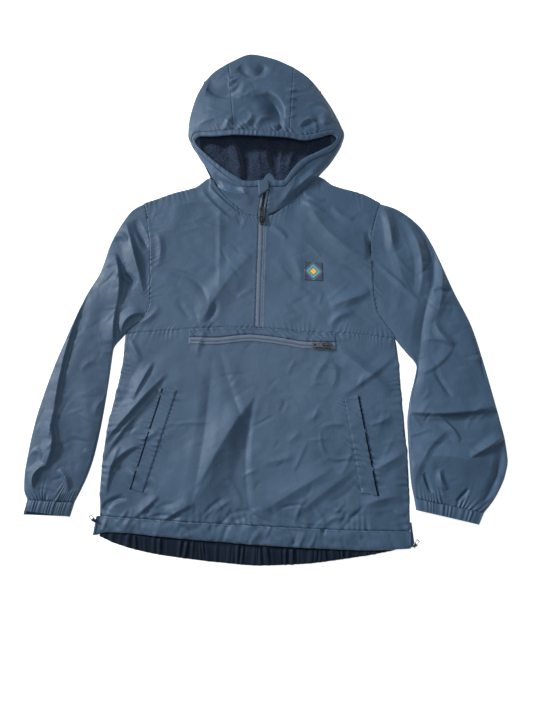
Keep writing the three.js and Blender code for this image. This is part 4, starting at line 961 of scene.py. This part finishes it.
def back_top_edge(t):
    """The back's top edge: right shoulder, neck and left shoulder."""
    t = np.asarray(t, float)
    right = across(SHOULDER_R, end=NECK_R)(np.clip(t / 0.28, 0, 1))
    left = across(SHOULDER_L, start=NECK_L)(np.clip((t - 0.74) / 0.26, 0, 1))
    neck = across(BACK_NECK)(np.clip((t - 0.28) / 0.46, 0, 1))
    return np.where(t < 0.28, right, np.where(t > 0.74, left, neck))


BACK_HEM_PROFILE = (
    (23.7, 0.3), (16, 0.2), (8, 0.2), (3, 0.25), (0.8, 0.6), (0, 1.5), (0.5, 2.6), (1.8, 3.2), (4, 3.3),
    (7, 3.1), (10, 3.1), (14, 3.1), (18, 3.0), (22, 2.9), (24.5, 2.4), (27, 2.9), (34, 3.0), (44, 3.0),
)


def make_back_hem():
    """The gathered back hem, of which the inside shows below the front."""
    t = np.linspace(0, 1, BACK_HEM_GATHERS * 15)
    x, edge = across(BACK_HEM_EDGE)(t)
    phase = 2 * np.pi * (BACK_HEM_GATHERS * t + 0.35 * np.sin(t * 41) + 0.2 * np.sin(t * 97))
    covered = read(FRONT_HEM_EDGE, "x", "y", x)
    rows = []
    for distance, lift in BACK_HEM_PROFILE:
        y = edge + distance
        room = np.clip((covered - y + 4) / 8, 0.12, 1)
        strength = np.interp(distance, (0, 3, 20, 30, 44), (0.8, 1.0, 1.1, 0.7, 0.3))
        drift = phase + 0.06 * distance * np.sin(t * 61) + 1.5 * np.sin(t * 17)
        uneven = (0.15 + 0.85 * np.abs(np.sin(t * 37 + 1) * np.sin(t * 119))) * lerp(0.6, 1.2, t)
        fold = 1.0 + 0.8 * zigzag(drift) + 0.6 * zigzag(0.43 * drift + 1 + 0.06 * distance)
        wave = 2.2 * strength * room * uneven * fold * (lift > 1)
        rows.append(np.stack([x + 0.12 * distance * np.sin(t * 31), y, lift + wave], axis=1))
    # Its colour is painted shade: the shell nylon darkened, as it lies in shadow under the front hem
    obj = make_cloth("back_hem_band", np.array(rows), SHELL_PAINTED_SHADE)
    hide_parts("hem_back")


# Sleeves and cuffs


def ring_parts(width):
    """Places round a flattened tube: (part, share across, turn of the folded edge)."""
    s = np.linspace(0, 1, round(width / STEP))
    turns = np.linspace(0, 1, 7)[1:-1]
    places = [("top", v, 0.0) for v in s]
    places += [("fold", 1.0, v) for v in turns]
    places += [("bottom", v, 0.0) for v in s[::-2]]
    places += [("fold", 0.0, v) for v in turns[::-1]]
    return places


def flat_tube(sections, width, lift):
    """A flattened tube. sections(s) gives x and y across it for each row, from edge a to b."""
    columns = []
    ends = {share: np.stack(sections(share), axis=1) for share in (0.0, 1.0)}
    span = np.linalg.norm(ends[1.0] - ends[0.0], axis=1)
    margin = RADIUS / span
    for part, share, turn in ring_parts(width):
        s = np.clip(np.full_like(margin, share), margin, 1 - margin)
        x, y = sections(s)
        if part == "top":
            z = EDGE + lift(s, x, y)
        elif part == "bottom":
            z = np.full_like(x, LOWEST)
        else:
            angle = math.pi * (0.5 - turn)
            end = ends[share]
            far = np.hypot(end[:, 0] - x, end[:, 1] - y)
            reach = RADIUS * math.cos(angle) / far
            x, y = x + (end[:, 0] - x) * reach, y + (end[:, 1] - y) * reach
            z = np.full_like(x, RADIUS + RADIUS * math.sin(angle)) + LOWEST * (turn > 0.5)
        columns.append(np.stack([x, y, z], axis=1))
    return np.stack(columns, axis=1)


def sleeve_sections(rows, side, underarm, count):
    """Rows of a sleeve from its table, the first of them along the armhole."""
    t = np.linspace(0, 1, count)
    at = read_all(rows, t)

    def section(s):
        armhole = read(side, "y", "x", lerp(SHOULDER_Y, underarm, s))
        offset = armhole - lerp(rows["ax"][0], rows["bx"][0], s)
        x = lerp(at["ax"], at["bx"], s) + at["bulge"] * offset
        return x, lerp(at["ay"], at["by"], s)

    return section, t


def make_sleeves():
    for side, rows, edge, underarm, seed, strewn_over in (
        ("r", SLEEVE_R, SIDE_R, UNDERARM_R, 11, SLEEVE_STREWN_R),
        ("l", SLEEVE_L, SIDE_L, UNDERARM_L, 12, SLEEVE_STREWN_L),
    ):
        section, t = sleeve_sections(rows, edge, underarm, 290)

        def lift(s, x, y):
            steady = np.clip(s * (1 - s) / 0.1, 0, 1)
            base = np.maximum(0, LOFT * dome(s) + FOLD_SHARE * folds_at(FOLDS, x, y) * steady)
            fine = creases_at(SLEEVE_CREASES, x, y, STRENGTH["sleeve"])
            fine = fine + creases_at(strewn_over, x, y, STRENGTH["sleeve_strewn"])
            fine = (fine + crumple(x, y, seed, 0.7, 50)) * np.clip(s * (1 - s) / 0.03, 0, 1)
            run, from_top, from_cuff = s * SLEEVE_WIDTH, t * SLEEVE_LENGTH, (1 - t) * SLEEVE_LENGTH
            ripple = pucker(from_top, run, 0.8, 10, 9) + pucker(from_cuff, run, 2.2, 20, 12)
            sunk = 0.5 * np.exp(-((from_top / 1.1) ** 2)) + np.exp(-((from_cuff / 2) ** 2))
            return np.maximum(base + fine + ripple * steady - sunk, -1.2)

        points = flat_tube(section, 225, lift)
        obj = make_cloth(f"sleeve_{side}_cloth", points, SHELL, tube=True)
        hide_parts(f"sleeve_{side}")


def make_cuffs():
    for side, cuff in (("r", CUFF_R), ("l", CUFF_L)):
        a, b, c, d = (np.array(cuff[k], float) for k in "abcd")
        v = np.array([0.0, 0.03, 0.08, 0.2, 0.35, 0.5, 0.65, 0.8, 0.92, 0.97, 1.0])
        inner = np.array([1.0, 0.9, 0.6, 0.3])
        along = np.concatenate([v, inner])
        inside = np.concatenate([np.zeros(len(v)), np.full(len(inner), 1.5)])

        def section(s):
            return tuple(lerp(lerp(a[:, None], c[:, None], along), lerp(b[:, None], d[:, None], along), s))

        def lift(s, x, y):
            drift = 0.55 * np.sin(9 * s) + 0.35 * np.sin(23 * s + 1) + 0.05 * np.sin(60 * s) * along
            wave = 0.5 - 0.5 * zigzag(2 * np.pi * (CUFF_GATHERS * s + drift))
            wave = wave * (0.55 + 0.45 * np.sin(31 * s + 2) * np.sin(12 * s))
            rounded = 1.2 * np.sin(np.pi * np.clip(along, 0, 1)) - 1.2 * np.exp(-((along / 0.05) ** 2))
            return 2.2 * dome(s) + 2.6 * wave * (1 - 0.35 * along) + rounded - inside

        points = flat_tube(section, 190, lift)
        middle = points.mean(axis=1, keepdims=True)
        shrink = np.where(inside > 0, 0.96, 1.0)[:, None, None]
        points = middle + (points - middle) * shrink
        opening = np.clip(along, 0, 1)[:, None] * cuff["gape"]
        across_share = np.clip((points[..., 0] - a[0]) / (b[0] - a[0]), 0, 1)
        top = points[..., 2] > EDGE - 0.5
        points[..., 1] += np.where(top, opening * (1 - across_share), 0)
        obj = make_cloth(f"cuff_{side}_cloth", points, SHELL, tube=True)
        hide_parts(f"cuff_{side}")


# The hood


def ruled(rows, v):
    """The hood's sections at places v along a table, one array for each column."""
    section = read_all(rows, v)
    section["length"] = np.hypot(section["ox"] - section["mx"], section["oy"] - section["my"])
    return section


def hood_points(section, far):
    """Points of the hood at distances from its mouth, one row for each section."""
    u = np.clip(far / section["length"], 0, 1.08)
    x = lerp(section["mx"], section["ox"], u)
    y = lerp(section["my"], section["oy"], u)
    steady = np.clip(u * 8, 0, 1) * np.clip((1 - u) * 5, 0, 1)
    rise = (section["mz"] - section["oz"]) * (1 - u**1.6)
    z = section["oz"] + rise + HOOD_SHARE * folds_at(HOOD_FOLDS, x, y) * steady
    return x, y, np.maximum(z, EDGE), steady


def make_hood_panels():
    panels = (("side_r", HOOD_SIDE_R, 300), ("centre", HOOD_CENTRE, 100), ("side_l", HOOD_SIDE_L, 300))
    inner = []
    for name, rows, width in panels:
        points = hood_panel_points(rows, width)
        obj = make_cloth(f"hood_{name}_cloth", points, SHELL)
        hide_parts(f"hood_{name}")
        lowered = points.copy()
        lowered[..., 2] = np.maximum(points[..., 2] - HOOD_LINING_DROP, HOOD_LINING_LOWEST)
        inner.append((name, lowered))
    for name, points in inner:
        obj = make_cloth(f"hood_{name}_lining", points[::2, ::2], FLEECE, inwards=True)


def hood_panel_points(rows, width):
    """Points of a hood panel with its creases, puckered seams and gathers over the mouth."""
    v = lines(width)
    section = ruled(rows, v)
    shares = lines(110)[:, None]
    start = np.minimum(CASING + SEAM, section["length"] * 0.55)
    over_neck = 3.4 * np.clip((section["oz"] - 7.5) / 1.5, 0, 1)
    far = lerp(start, section["length"] + over_neck, shares)
    x, y, z, steady = hood_points(section, far)
    fine = creases_at(HOOD_CREASES, x, y, STRENGTH["hood"])
    fine = fine + creases_at(HOOD_STREWN, x, y, STRENGTH["hood_strewn"])
    fine = fine + crumple(x, y, 21, 0.45, 38)
    # More puckers where the photo's two seams are drawn tight
    tight = np.where(x < 0, np.exp(-(((y - 486) / 14) ** 2)), np.exp(-(((y - 437) / 32) ** 2)))
    size = 0.8 + 2.2 * tight
    ripple = pucker(v * width, far, size, 5, 7) + pucker((1 - v) * width, far, size, 5, 7)
    forehead = np.exp(-((far - start) / 8)) * np.clip((section["mz"] - 20) / 8, 0, 1)
    gather = 3.0 * forehead * crinkle(x, far - start, 9)
    seams = 0.7 * (np.exp(-((v * width / 1.2) ** 2)) + np.exp(-(((1 - v) * width / 1.2) ** 2)))
    seams = seams + 1.1 * np.exp(-(((far - start) / 1.4) ** 2))
    outline = np.clip(section["length"] + over_neck - far, 0, None)
    on_outline = section["oz"] < 7.5
    roll = np.where(on_outline, rolled(outline), 0.5 * np.exp(-((outline / 1.0) ** 2)))
    fade = np.clip(outline / np.where(on_outline, 12, 3), 0, 1)
    z = z + (fine + ripple) * fade + gather - seams - roll
    return np.dstack([x, y, z])


CASING_PROFILE = (
    (9.5, -4.2), (6, -4.2), (2.5, -3.6), (0.6, -2.6), (-0.1, -1.5), (0.1, -0.6), (1.0, 0.2),
    (3.0, 0.6), (6, 0.8), (8, 0.6), (9.4, 0.2), (10.3, -0.5),
)


def make_casing():
    """The casing round the hood's mouth, gathered over the forehead. Returns its stitch lines."""
    parts = ((HOOD_SIDE_R, 150, False), (HOOD_CENTRE, 140, True), (HOOD_SIDE_L, 150, False))
    columns = []
    stitched = []
    for rows, count, gathered in parts:
        v = np.linspace(0, 1, count)
        section = ruled(rows, v)
        width = np.minimum(CASING, section["length"] * 0.5)
        edge = np.hypot(np.gradient(section["mx"]), np.gradient(section["my"])).cumsum()
        if gathered:
            bell = np.sin(np.pi * np.clip((v + 0.15) / 1.3, 0, 1))
            gather = 1.5 * bell * (0.4 + 0.6 * crinkle(edge, 0 * edge, 8.0))
        else:
            gather = 0.6 * crinkle(edge, 0 * edge, 12)
        ring = []
        for far, lift in CASING_PROFILE:
            x, y, z, _ = hood_points(section, np.maximum(far, 0) / CASING * width)
            back = np.minimum(far, 0)
            x = x - back * (section["mx"] - section["ox"]) / section["length"]
            y = y - back * (section["my"] - section["oy"]) / section["length"]
            ring.append(np.stack([x, y, z + lift + 0.5 + gather * (lift > -2)], axis=1))
        ring = np.array(ring)
        columns.append(ring if not columns else ring[:, 1:])
        stitched.append(ring[-4] * 0.5 + ring[-3] * 0.5)
    obj = make_cloth("hood_casing_cloth", np.concatenate(columns, axis=1), SHELL)
    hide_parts("hood_casing")
    return stitched


def make_hood_back():
    plan = between(
        bottom=across(BACK_NECK, shift=SEAM),
        top=through(HOOD_TOP_EDGE),
        left=through(HOOD_LEFT_EDGE),
        right=through(HOOD_RIGHT_EDGE),
    )
    obj = make_cloth("hood_back_cloth", floor_points(plan, (240, 220)), SHELL, inwards=True)
    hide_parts("hood_back")


def make_hood_lining():
    plan = between(
        bottom=through(LINING_BOTTOM), top=through(LINING_TOP), left=through(LINING_LEFT),
        right=through(LINING_RIGHT),
    )

    def height(x, y):
        folds = folds_at(LINING_FOLDS, x, y) + creases_at(LINING_CREASES, x, y, STRENGTH["lining"])
        return np.maximum(CLOTH + SEAM + 2 + folds + crumple(x, y, 31, 0.8, 30), CLOTH + SEAM)

    points = panel_points(plan, (200, 150), height)
    obj = make_cloth("hood_lining_cloth", points, FLEECE)
    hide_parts("hood_lining")


# What is sewn on the front


def laid_strip(name, plan, size, thickness, finish, replaced, lift=0.4, surface=body_top):
    """A strip on the front whose four edges turn down to the panel under it."""
    u, v = lines(size[0], 2.0, (0.3, 0.9)), lines(size[1], 2.0, (0.3, 0.9))
    plan_points = np.moveaxis(plan(u, v), 0, -1)
    x, y = plan_points[..., 0], plan_points[..., 1]
    away = edge_distances(plan_points)
    nearest = np.minimum.reduce([away[k] for k in away])
    z = surface(x, y) + lift + thickness - np.clip(thickness * (1 - nearest / 0.9), 0, None)
    z = z - max(lift, 0) * (nearest < 0.01)
    obj = make_cloth(name, np.dstack([x, y, z]), finish)
    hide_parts(replaced)
    return obj


def make_welts():
    paths = []
    for side, ends in WELTS.items():
        foot, head = ends["foot"], ends["head"]
        plan = strip_plan(foot, head)
        obj = laid_strip(
            f"pocket_welt_{side}_cloth", plan, (24, 160), 0.7, SHELL, f"pocket_welt_{side}",
            surface=lambda x, y: body_top(x, y) + 0.7 * crinkle(y, x, 10),
        )
        paint_slit_shade(obj, plan, side)
        paths += frame_paths(foot, head, lambda x, y: body_top(x, y) + 1.1)
    return paths


def paint_slit_shade(obj, plan, side):
    """Painted shade for the slit of a slanted pocket: the welt's faces along its outer edge get a dark
    nylon.
    """
    obj.data.materials.append(SLIT_PAINTED_SHADE)
    outer = plan(np.array([0.0 if side == "r" else 1.0]), np.linspace(0, 1, 40))[:, :, 0]
    for face in obj.data.polygons:
        x, y = place_of(face)
        reach = 2.8 + 0.6 * math.sin(y / 3.1) + 0.5 * math.sin(y / 9)
        if abs(x - np.interp(y, outer[1], outer[0])) < reach:
            face.material_index = 1


def frame_paths(foot, head, height):
    """Four stitch paths just inside a slanted rectangle's edges."""
    corners = [np.array(p, float) for p in (foot[0], foot[1], head[1], head[0])]
    middle = sum(corners) / 4
    drawn = [c + (middle - c) * WELT_STITCH_INSET / np.linalg.norm(middle - c) for c in corners]
    paths = []
    for start, end in zip(drawn, drawn[1:] + drawn[:1]):
        t = np.linspace(0, 1, 60)
        x, y = lerp(start[0], end[0], t), lerp(start[1], end[1], t)
        paths.append(np.stack([x, y, height(x, y)], axis=1))
    return paths


def make_pocket_band():
    plan = between(
        bottom=across(POCKET_ZIP, shift=HALF_ZIP + SEAM),
        top=across(CHEST_SEAM, -126, 112, -1),
        left=straight((-126, 23 + HALF_ZIP + SEAM), (-126, 42)),
        right=straight((112, 14 + HALF_ZIP + SEAM), (112, 35)),
    )
    obj = laid_strip(
        "pocket_band_cloth", plan, (238, 16), 1.0, SHELL, "pocket_band",
        surface=lambda x, y: body_top(x, y) + 1.7 * crinkle(x, y, 11),
    )


def coil(name, centre_line, surface, along_x):
    """The ribs of a reversed coil down the middle of a zip."""
    t = np.linspace(0, 1, 400)
    x, y = centre_line(t)
    run = np.concatenate([[0], np.cumsum(np.hypot(np.diff(x), np.diff(y)))])
    at = np.arange(1, run[-1], 1.5)
    cx, cy = np.interp(at, run, x), np.interp(at, run, y)
    cz = surface(cx, cy)
    vertices, faces = [], []
    for k, (px, py, pz) in enumerate(zip(cx, cy, cz)):
        for side, up in ((-1.7, 0.0), (-1.0, 0.55), (1.0, 0.55), (1.7, 0.0)):
            for step in (-0.55, 0.55):
                dx, dy = (step, side) if along_x else (side, step)
                vertices.append((px + dx, py + dy, pz + up))
        b = k * 8
        faces += [(b, b + 2, b + 3, b + 1), (b + 2, b + 4, b + 5, b + 3), (b + 4, b + 6, b + 7, b + 5)]
    return make_object(name, to_metres(vertices), np.array(faces), COIL)


def make_pocket_zip():
    plan = between(
        bottom=across(POCKET_ZIP, shift=-HALF_ZIP),
        top=across(POCKET_ZIP, shift=HALF_ZIP),
        left=straight((-126, 23 - HALF_ZIP), (-126, 23 + HALF_ZIP)),
        right=straight((112, 14 - HALF_ZIP), (112, 14 + HALF_ZIP)),
    )
    obj = laid_strip("zip_pocket_tape", plan, (238, ZIP_WIDTH), 0.9, TAPE, "zip_pocket", lift=0.5)
    coil("zip_pocket_coil", across(POCKET_ZIP, -124, 110), lambda x, y: body_top(x, y) + 1.35, True)


def make_front_zip():
    plan = between(
        bottom=straight((ZIP_FOOT - HALF_ZIP, 46), (ZIP_FOOT + HALF_ZIP, 46)),
        top=straight((1 - HALF_ZIP, COLLAR_TOP), (1 + HALF_ZIP, COLLAR_TOP)),
        left=upright(FRONT_ZIP, 46, COLLAR_TOP, -HALF_ZIP),
        right=upright(FRONT_ZIP, 46, COLLAR_TOP, HALF_ZIP),
    )
    obj = laid_strip(
        "zip_front_tape", plan, (ZIP_WIDTH, 252), 0.4, TAPE, "zip_front", lift=-0.9, surface=zip_surface
    )
    # The faces in the open gap above the slider get painted shade for the gap's depth
    obj.data.materials.append(SHELL_PAINTED_SHADE)
    for face in obj.data.polygons:
        x, y = place_of(face)
        if y > 236 and abs(x - float(read(FRONT_ZIP, "y", "x", y))) < OPEN_HALF:
            face.material_index = 1
    coil("zip_front_coil", upright(FRONT_ZIP, 48, 226), lambda x, y: zip_surface(x, y) - 0.45, False)


def zip_surface(x, y):
    """Height of the cloth beside the half zip, creases and all."""
    return np.where(y <= NECK_Y, body_top(x, y), zip_line(x, y))


def make_guard():
    plan = between(
        bottom=straight((-11, 266), (7, 266)),
        top=lambda t: np.array([lerp(-6, 16, t), 300 + 13 * np.sin(np.pi * t)]),
        left=straight((-11, 266), (-6, 300)),
        right=straight((7, 266), (16, 300)),
    )
    obj = laid_strip(
        "zip_guard_cloth", plan, (18, 38), 1.6, SHELL, "zip_guard", lift=-6.0, surface=zip_line
    )
    flap = strip_plan(((-13, 268), (5, 281)), ((-15, 296), (4, 297)))
    obj = laid_strip("zip_flap_cloth", flap, (19, 22), 1.4, SHELL, "zip_flap", lift=2.2, surface=zip_line)


def make_label():
    """A plain woven label with one lozenge in another."""
    plan = strip_plan(((62, 125), (93, 123)), ((62, 157), (93, 155)))
    u, v = np.linspace(0, 1, 63), np.linspace(0, 1, 63)
    x, y = plan(u, v)
    edge = np.minimum(np.minimum(u, 1 - u)[None, :], np.minimum(v, 1 - v)[:, None])
    across_label = np.abs((u[:-1] + u[1:]) / 2 - 0.5)[None, :]
    up_label = np.abs((v[:-1] + v[1:]) / 2 - 0.5)[:, None]
    far = across_label + up_label
    woven = np.select([far < 0.19, far < 0.24, far < 0.4, (far > 0.46) & (far < 0.5)], [1, 0, 2, 3], 0)
    z = body_top(x, y) + 0.4 + np.minimum(1.0, edge * 40)
    obj = make_cloth("label_cloth", np.dstack([x, y, z]), LABEL_BASE)
    for finish in (LABEL_ORANGE, LABEL_TEAL, LABEL_GREY):
        obj.data.materials.append(finish)
    obj.data.polygons.foreach_set("material_index", woven.ravel())
    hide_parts("label")


def make_side_tapes():
    """The facings of the two short side zips."""
    tapes = {
        "r": dict(foot=((-267, -281), (-261.2, -280)), head=((-263, -252), (-257.4, -252))),
        "l": dict(foot=((221, -299), (227, -297)), head=((222, -262), (224, -262))),
    }
    for side, ends in tapes.items():
        foot, head = ends["foot"], ends["head"]
        plan = strip_plan(foot, head)
        obj = laid_strip(
            f"side_zip_{side}_cloth", plan, (6, 30), 5.2, SHELL, f"side_zip_{side}", lift=0.1,
            surface=lambda x, y: 0 * x,
        )


def make_topstitching(hood_lines, welt_lines):
    paths = list(hood_lines) + list(welt_lines)
    for edge, inset, lift in (
        (across(CHEST_SEAM, -226, -18), 2.6, 0),
        (across(CHEST_SEAM, -8, 206), 2.6, 0),
        (across(FRONT_HEM_SEAM, -254, 218), -2.4, 1.1),
        (across(FRONT_HEM_EDGE, -257, 217), 3.0, 0.9),
        (across(POCKET_ZIP, -124, 110, HALF_ZIP + 2.2), 0, 2.0),
        (across(POCKET_ZIP, -124, 110, -HALF_ZIP - 2.2), 0, 0),
        (across(CHEST_SEAM, -124, 110, -3.4), 0, 2.0),
        (upright(FRONT_ZIP, 48, 236, -HALF_ZIP - 2.4), 0, 0),
        (upright(FRONT_ZIP, 48, 236, HALF_ZIP + 2.4), 0, 0),
        (upright(SIDE_R, 44, 256, 2.6), 0, 0),
        (upright(SIDE_L, 36, 256, -2.6), 0, 0),
    ):
        paths.append(on_body(edge, inset, lift))
    make_stitches("topstitching", paths)


def dress_hardware():
    """Finishes of the sliders and pulls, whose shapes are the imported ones."""
    for name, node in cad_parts.items():
        if name.startswith(("slider_", "pull_")):
            finish = WIRE if name.startswith("pull_side") else PLATED
            node.data.materials.clear()
            node.data.materials.append(finish)


# Floor, light and camera


CAMERA_DISTANCE = 0.88
CAMERA_TILT = math.radians(10)
FRAME_LONG_SIDE = 711
FOCAL_PIXELS = 540
FLOOR_REACH = 6.0  # metres from the middle
FLOOR_HEIGHT = -0.0004
FLOOR_GLOW = 0.78  # keeps the paper as pale as a lit studio's
SUN_FROM = (-1.2, 0.6, 0.66)
OVERHEAD = (-0.02, -0.04, 0.68)


def make_stage():
    floor = Nodes("floor_paper")
    finish = floor.finish(
        Base_Color=srgb(246, 246, 246), Roughness=0.9, Emission_Color=(1, 1, 1, 1),
        Emission_Strength=FLOOR_GLOW,
    )
    mesh = bpy.data.meshes.new("floor")
    corners = ((-1, -1), (1, -1), (1, 1), (-1, 1))
    mesh.from_pydata(
        [(x * FLOOR_REACH, y * FLOOR_REACH, FLOOR_HEIGHT) for x, y in corners], [], [(0, 1, 2, 3)]
    )
    mesh.materials.append(finish)
    obj = bpy.data.objects.new("floor", mesh)
    bpy.context.scene.collection.objects.link(obj)


def make_light():
    """A soft light close above the chest, a harder one from the left and a weak sky."""
    world = bpy.data.worlds.new("studio")
    world.use_nodes = True
    background = world.node_tree.nodes["Background"]
    background.inputs["Color"].default_value = (0.95, 0.975, 1.0, 1)
    background.inputs["Strength"].default_value = 0.2
    bpy.context.scene.world = world
    sun = bpy.data.lights.new("side", "SUN")
    sun.energy = 3.5
    sun.angle = math.radians(12)
    place_light(sun, SUN_FROM, (0, 0, 0))
    box = bpy.data.lights.new("overhead", "AREA")
    box.shape = "SQUARE"
    box.size = 0.3
    box.energy = 1.5
    place_light(box, OVERHEAD, (*OVERHEAD[:2], 0)).visible_camera = False
    bpy.context.scene.view_settings.view_transform = "Standard"
    bpy.context.scene.view_settings.look = "None"


def place_light(light, place, aim):
    obj = bpy.data.objects.new(light.name, light)
    obj.location = place
    obj.rotation_euler = (Vector(aim) - Vector(place)).to_track_quat("-Z", "Y").to_euler()
    bpy.context.scene.collection.objects.link(obj)
    return obj


def make_camera():
    data = bpy.data.cameras.new("camera")
    data.sensor_width = 36
    data.lens = 36 * FOCAL_PIXELS / FRAME_LONG_SIDE
    data.clip_start, data.clip_end = 0.05, 50
    obj = bpy.data.objects.new("camera", data)
    looked_at = Vector((-CENTRE[0] * MM, -CENTRE[1] * MM, 0))
    back = Vector((0, -math.sin(CAMERA_TILT), math.cos(CAMERA_TILT)))
    obj.location = looked_at + back * CAMERA_DISTANCE
    obj.rotation_euler = (-back).to_track_quat("-Z", "Y").to_euler()
    bpy.context.scene.collection.objects.link(obj)
    bpy.context.scene.camera = obj


make_camera()
make_stage()
make_light()
make_back()
make_back_hem()
make_front_lower()
make_front_uppers()
make_front_hem()
make_sleeves()
make_cuffs()
make_hood_back()
make_hood_lining()
make_hood_panels()
hood_stitches = make_casing()
welt_stitches = make_welts()
make_pocket_band()
make_pocket_zip()
make_front_zip()
make_guard()
make_label()
make_side_tapes()
make_topstitching(hood_stitches, welt_stitches)
dress_hardware()
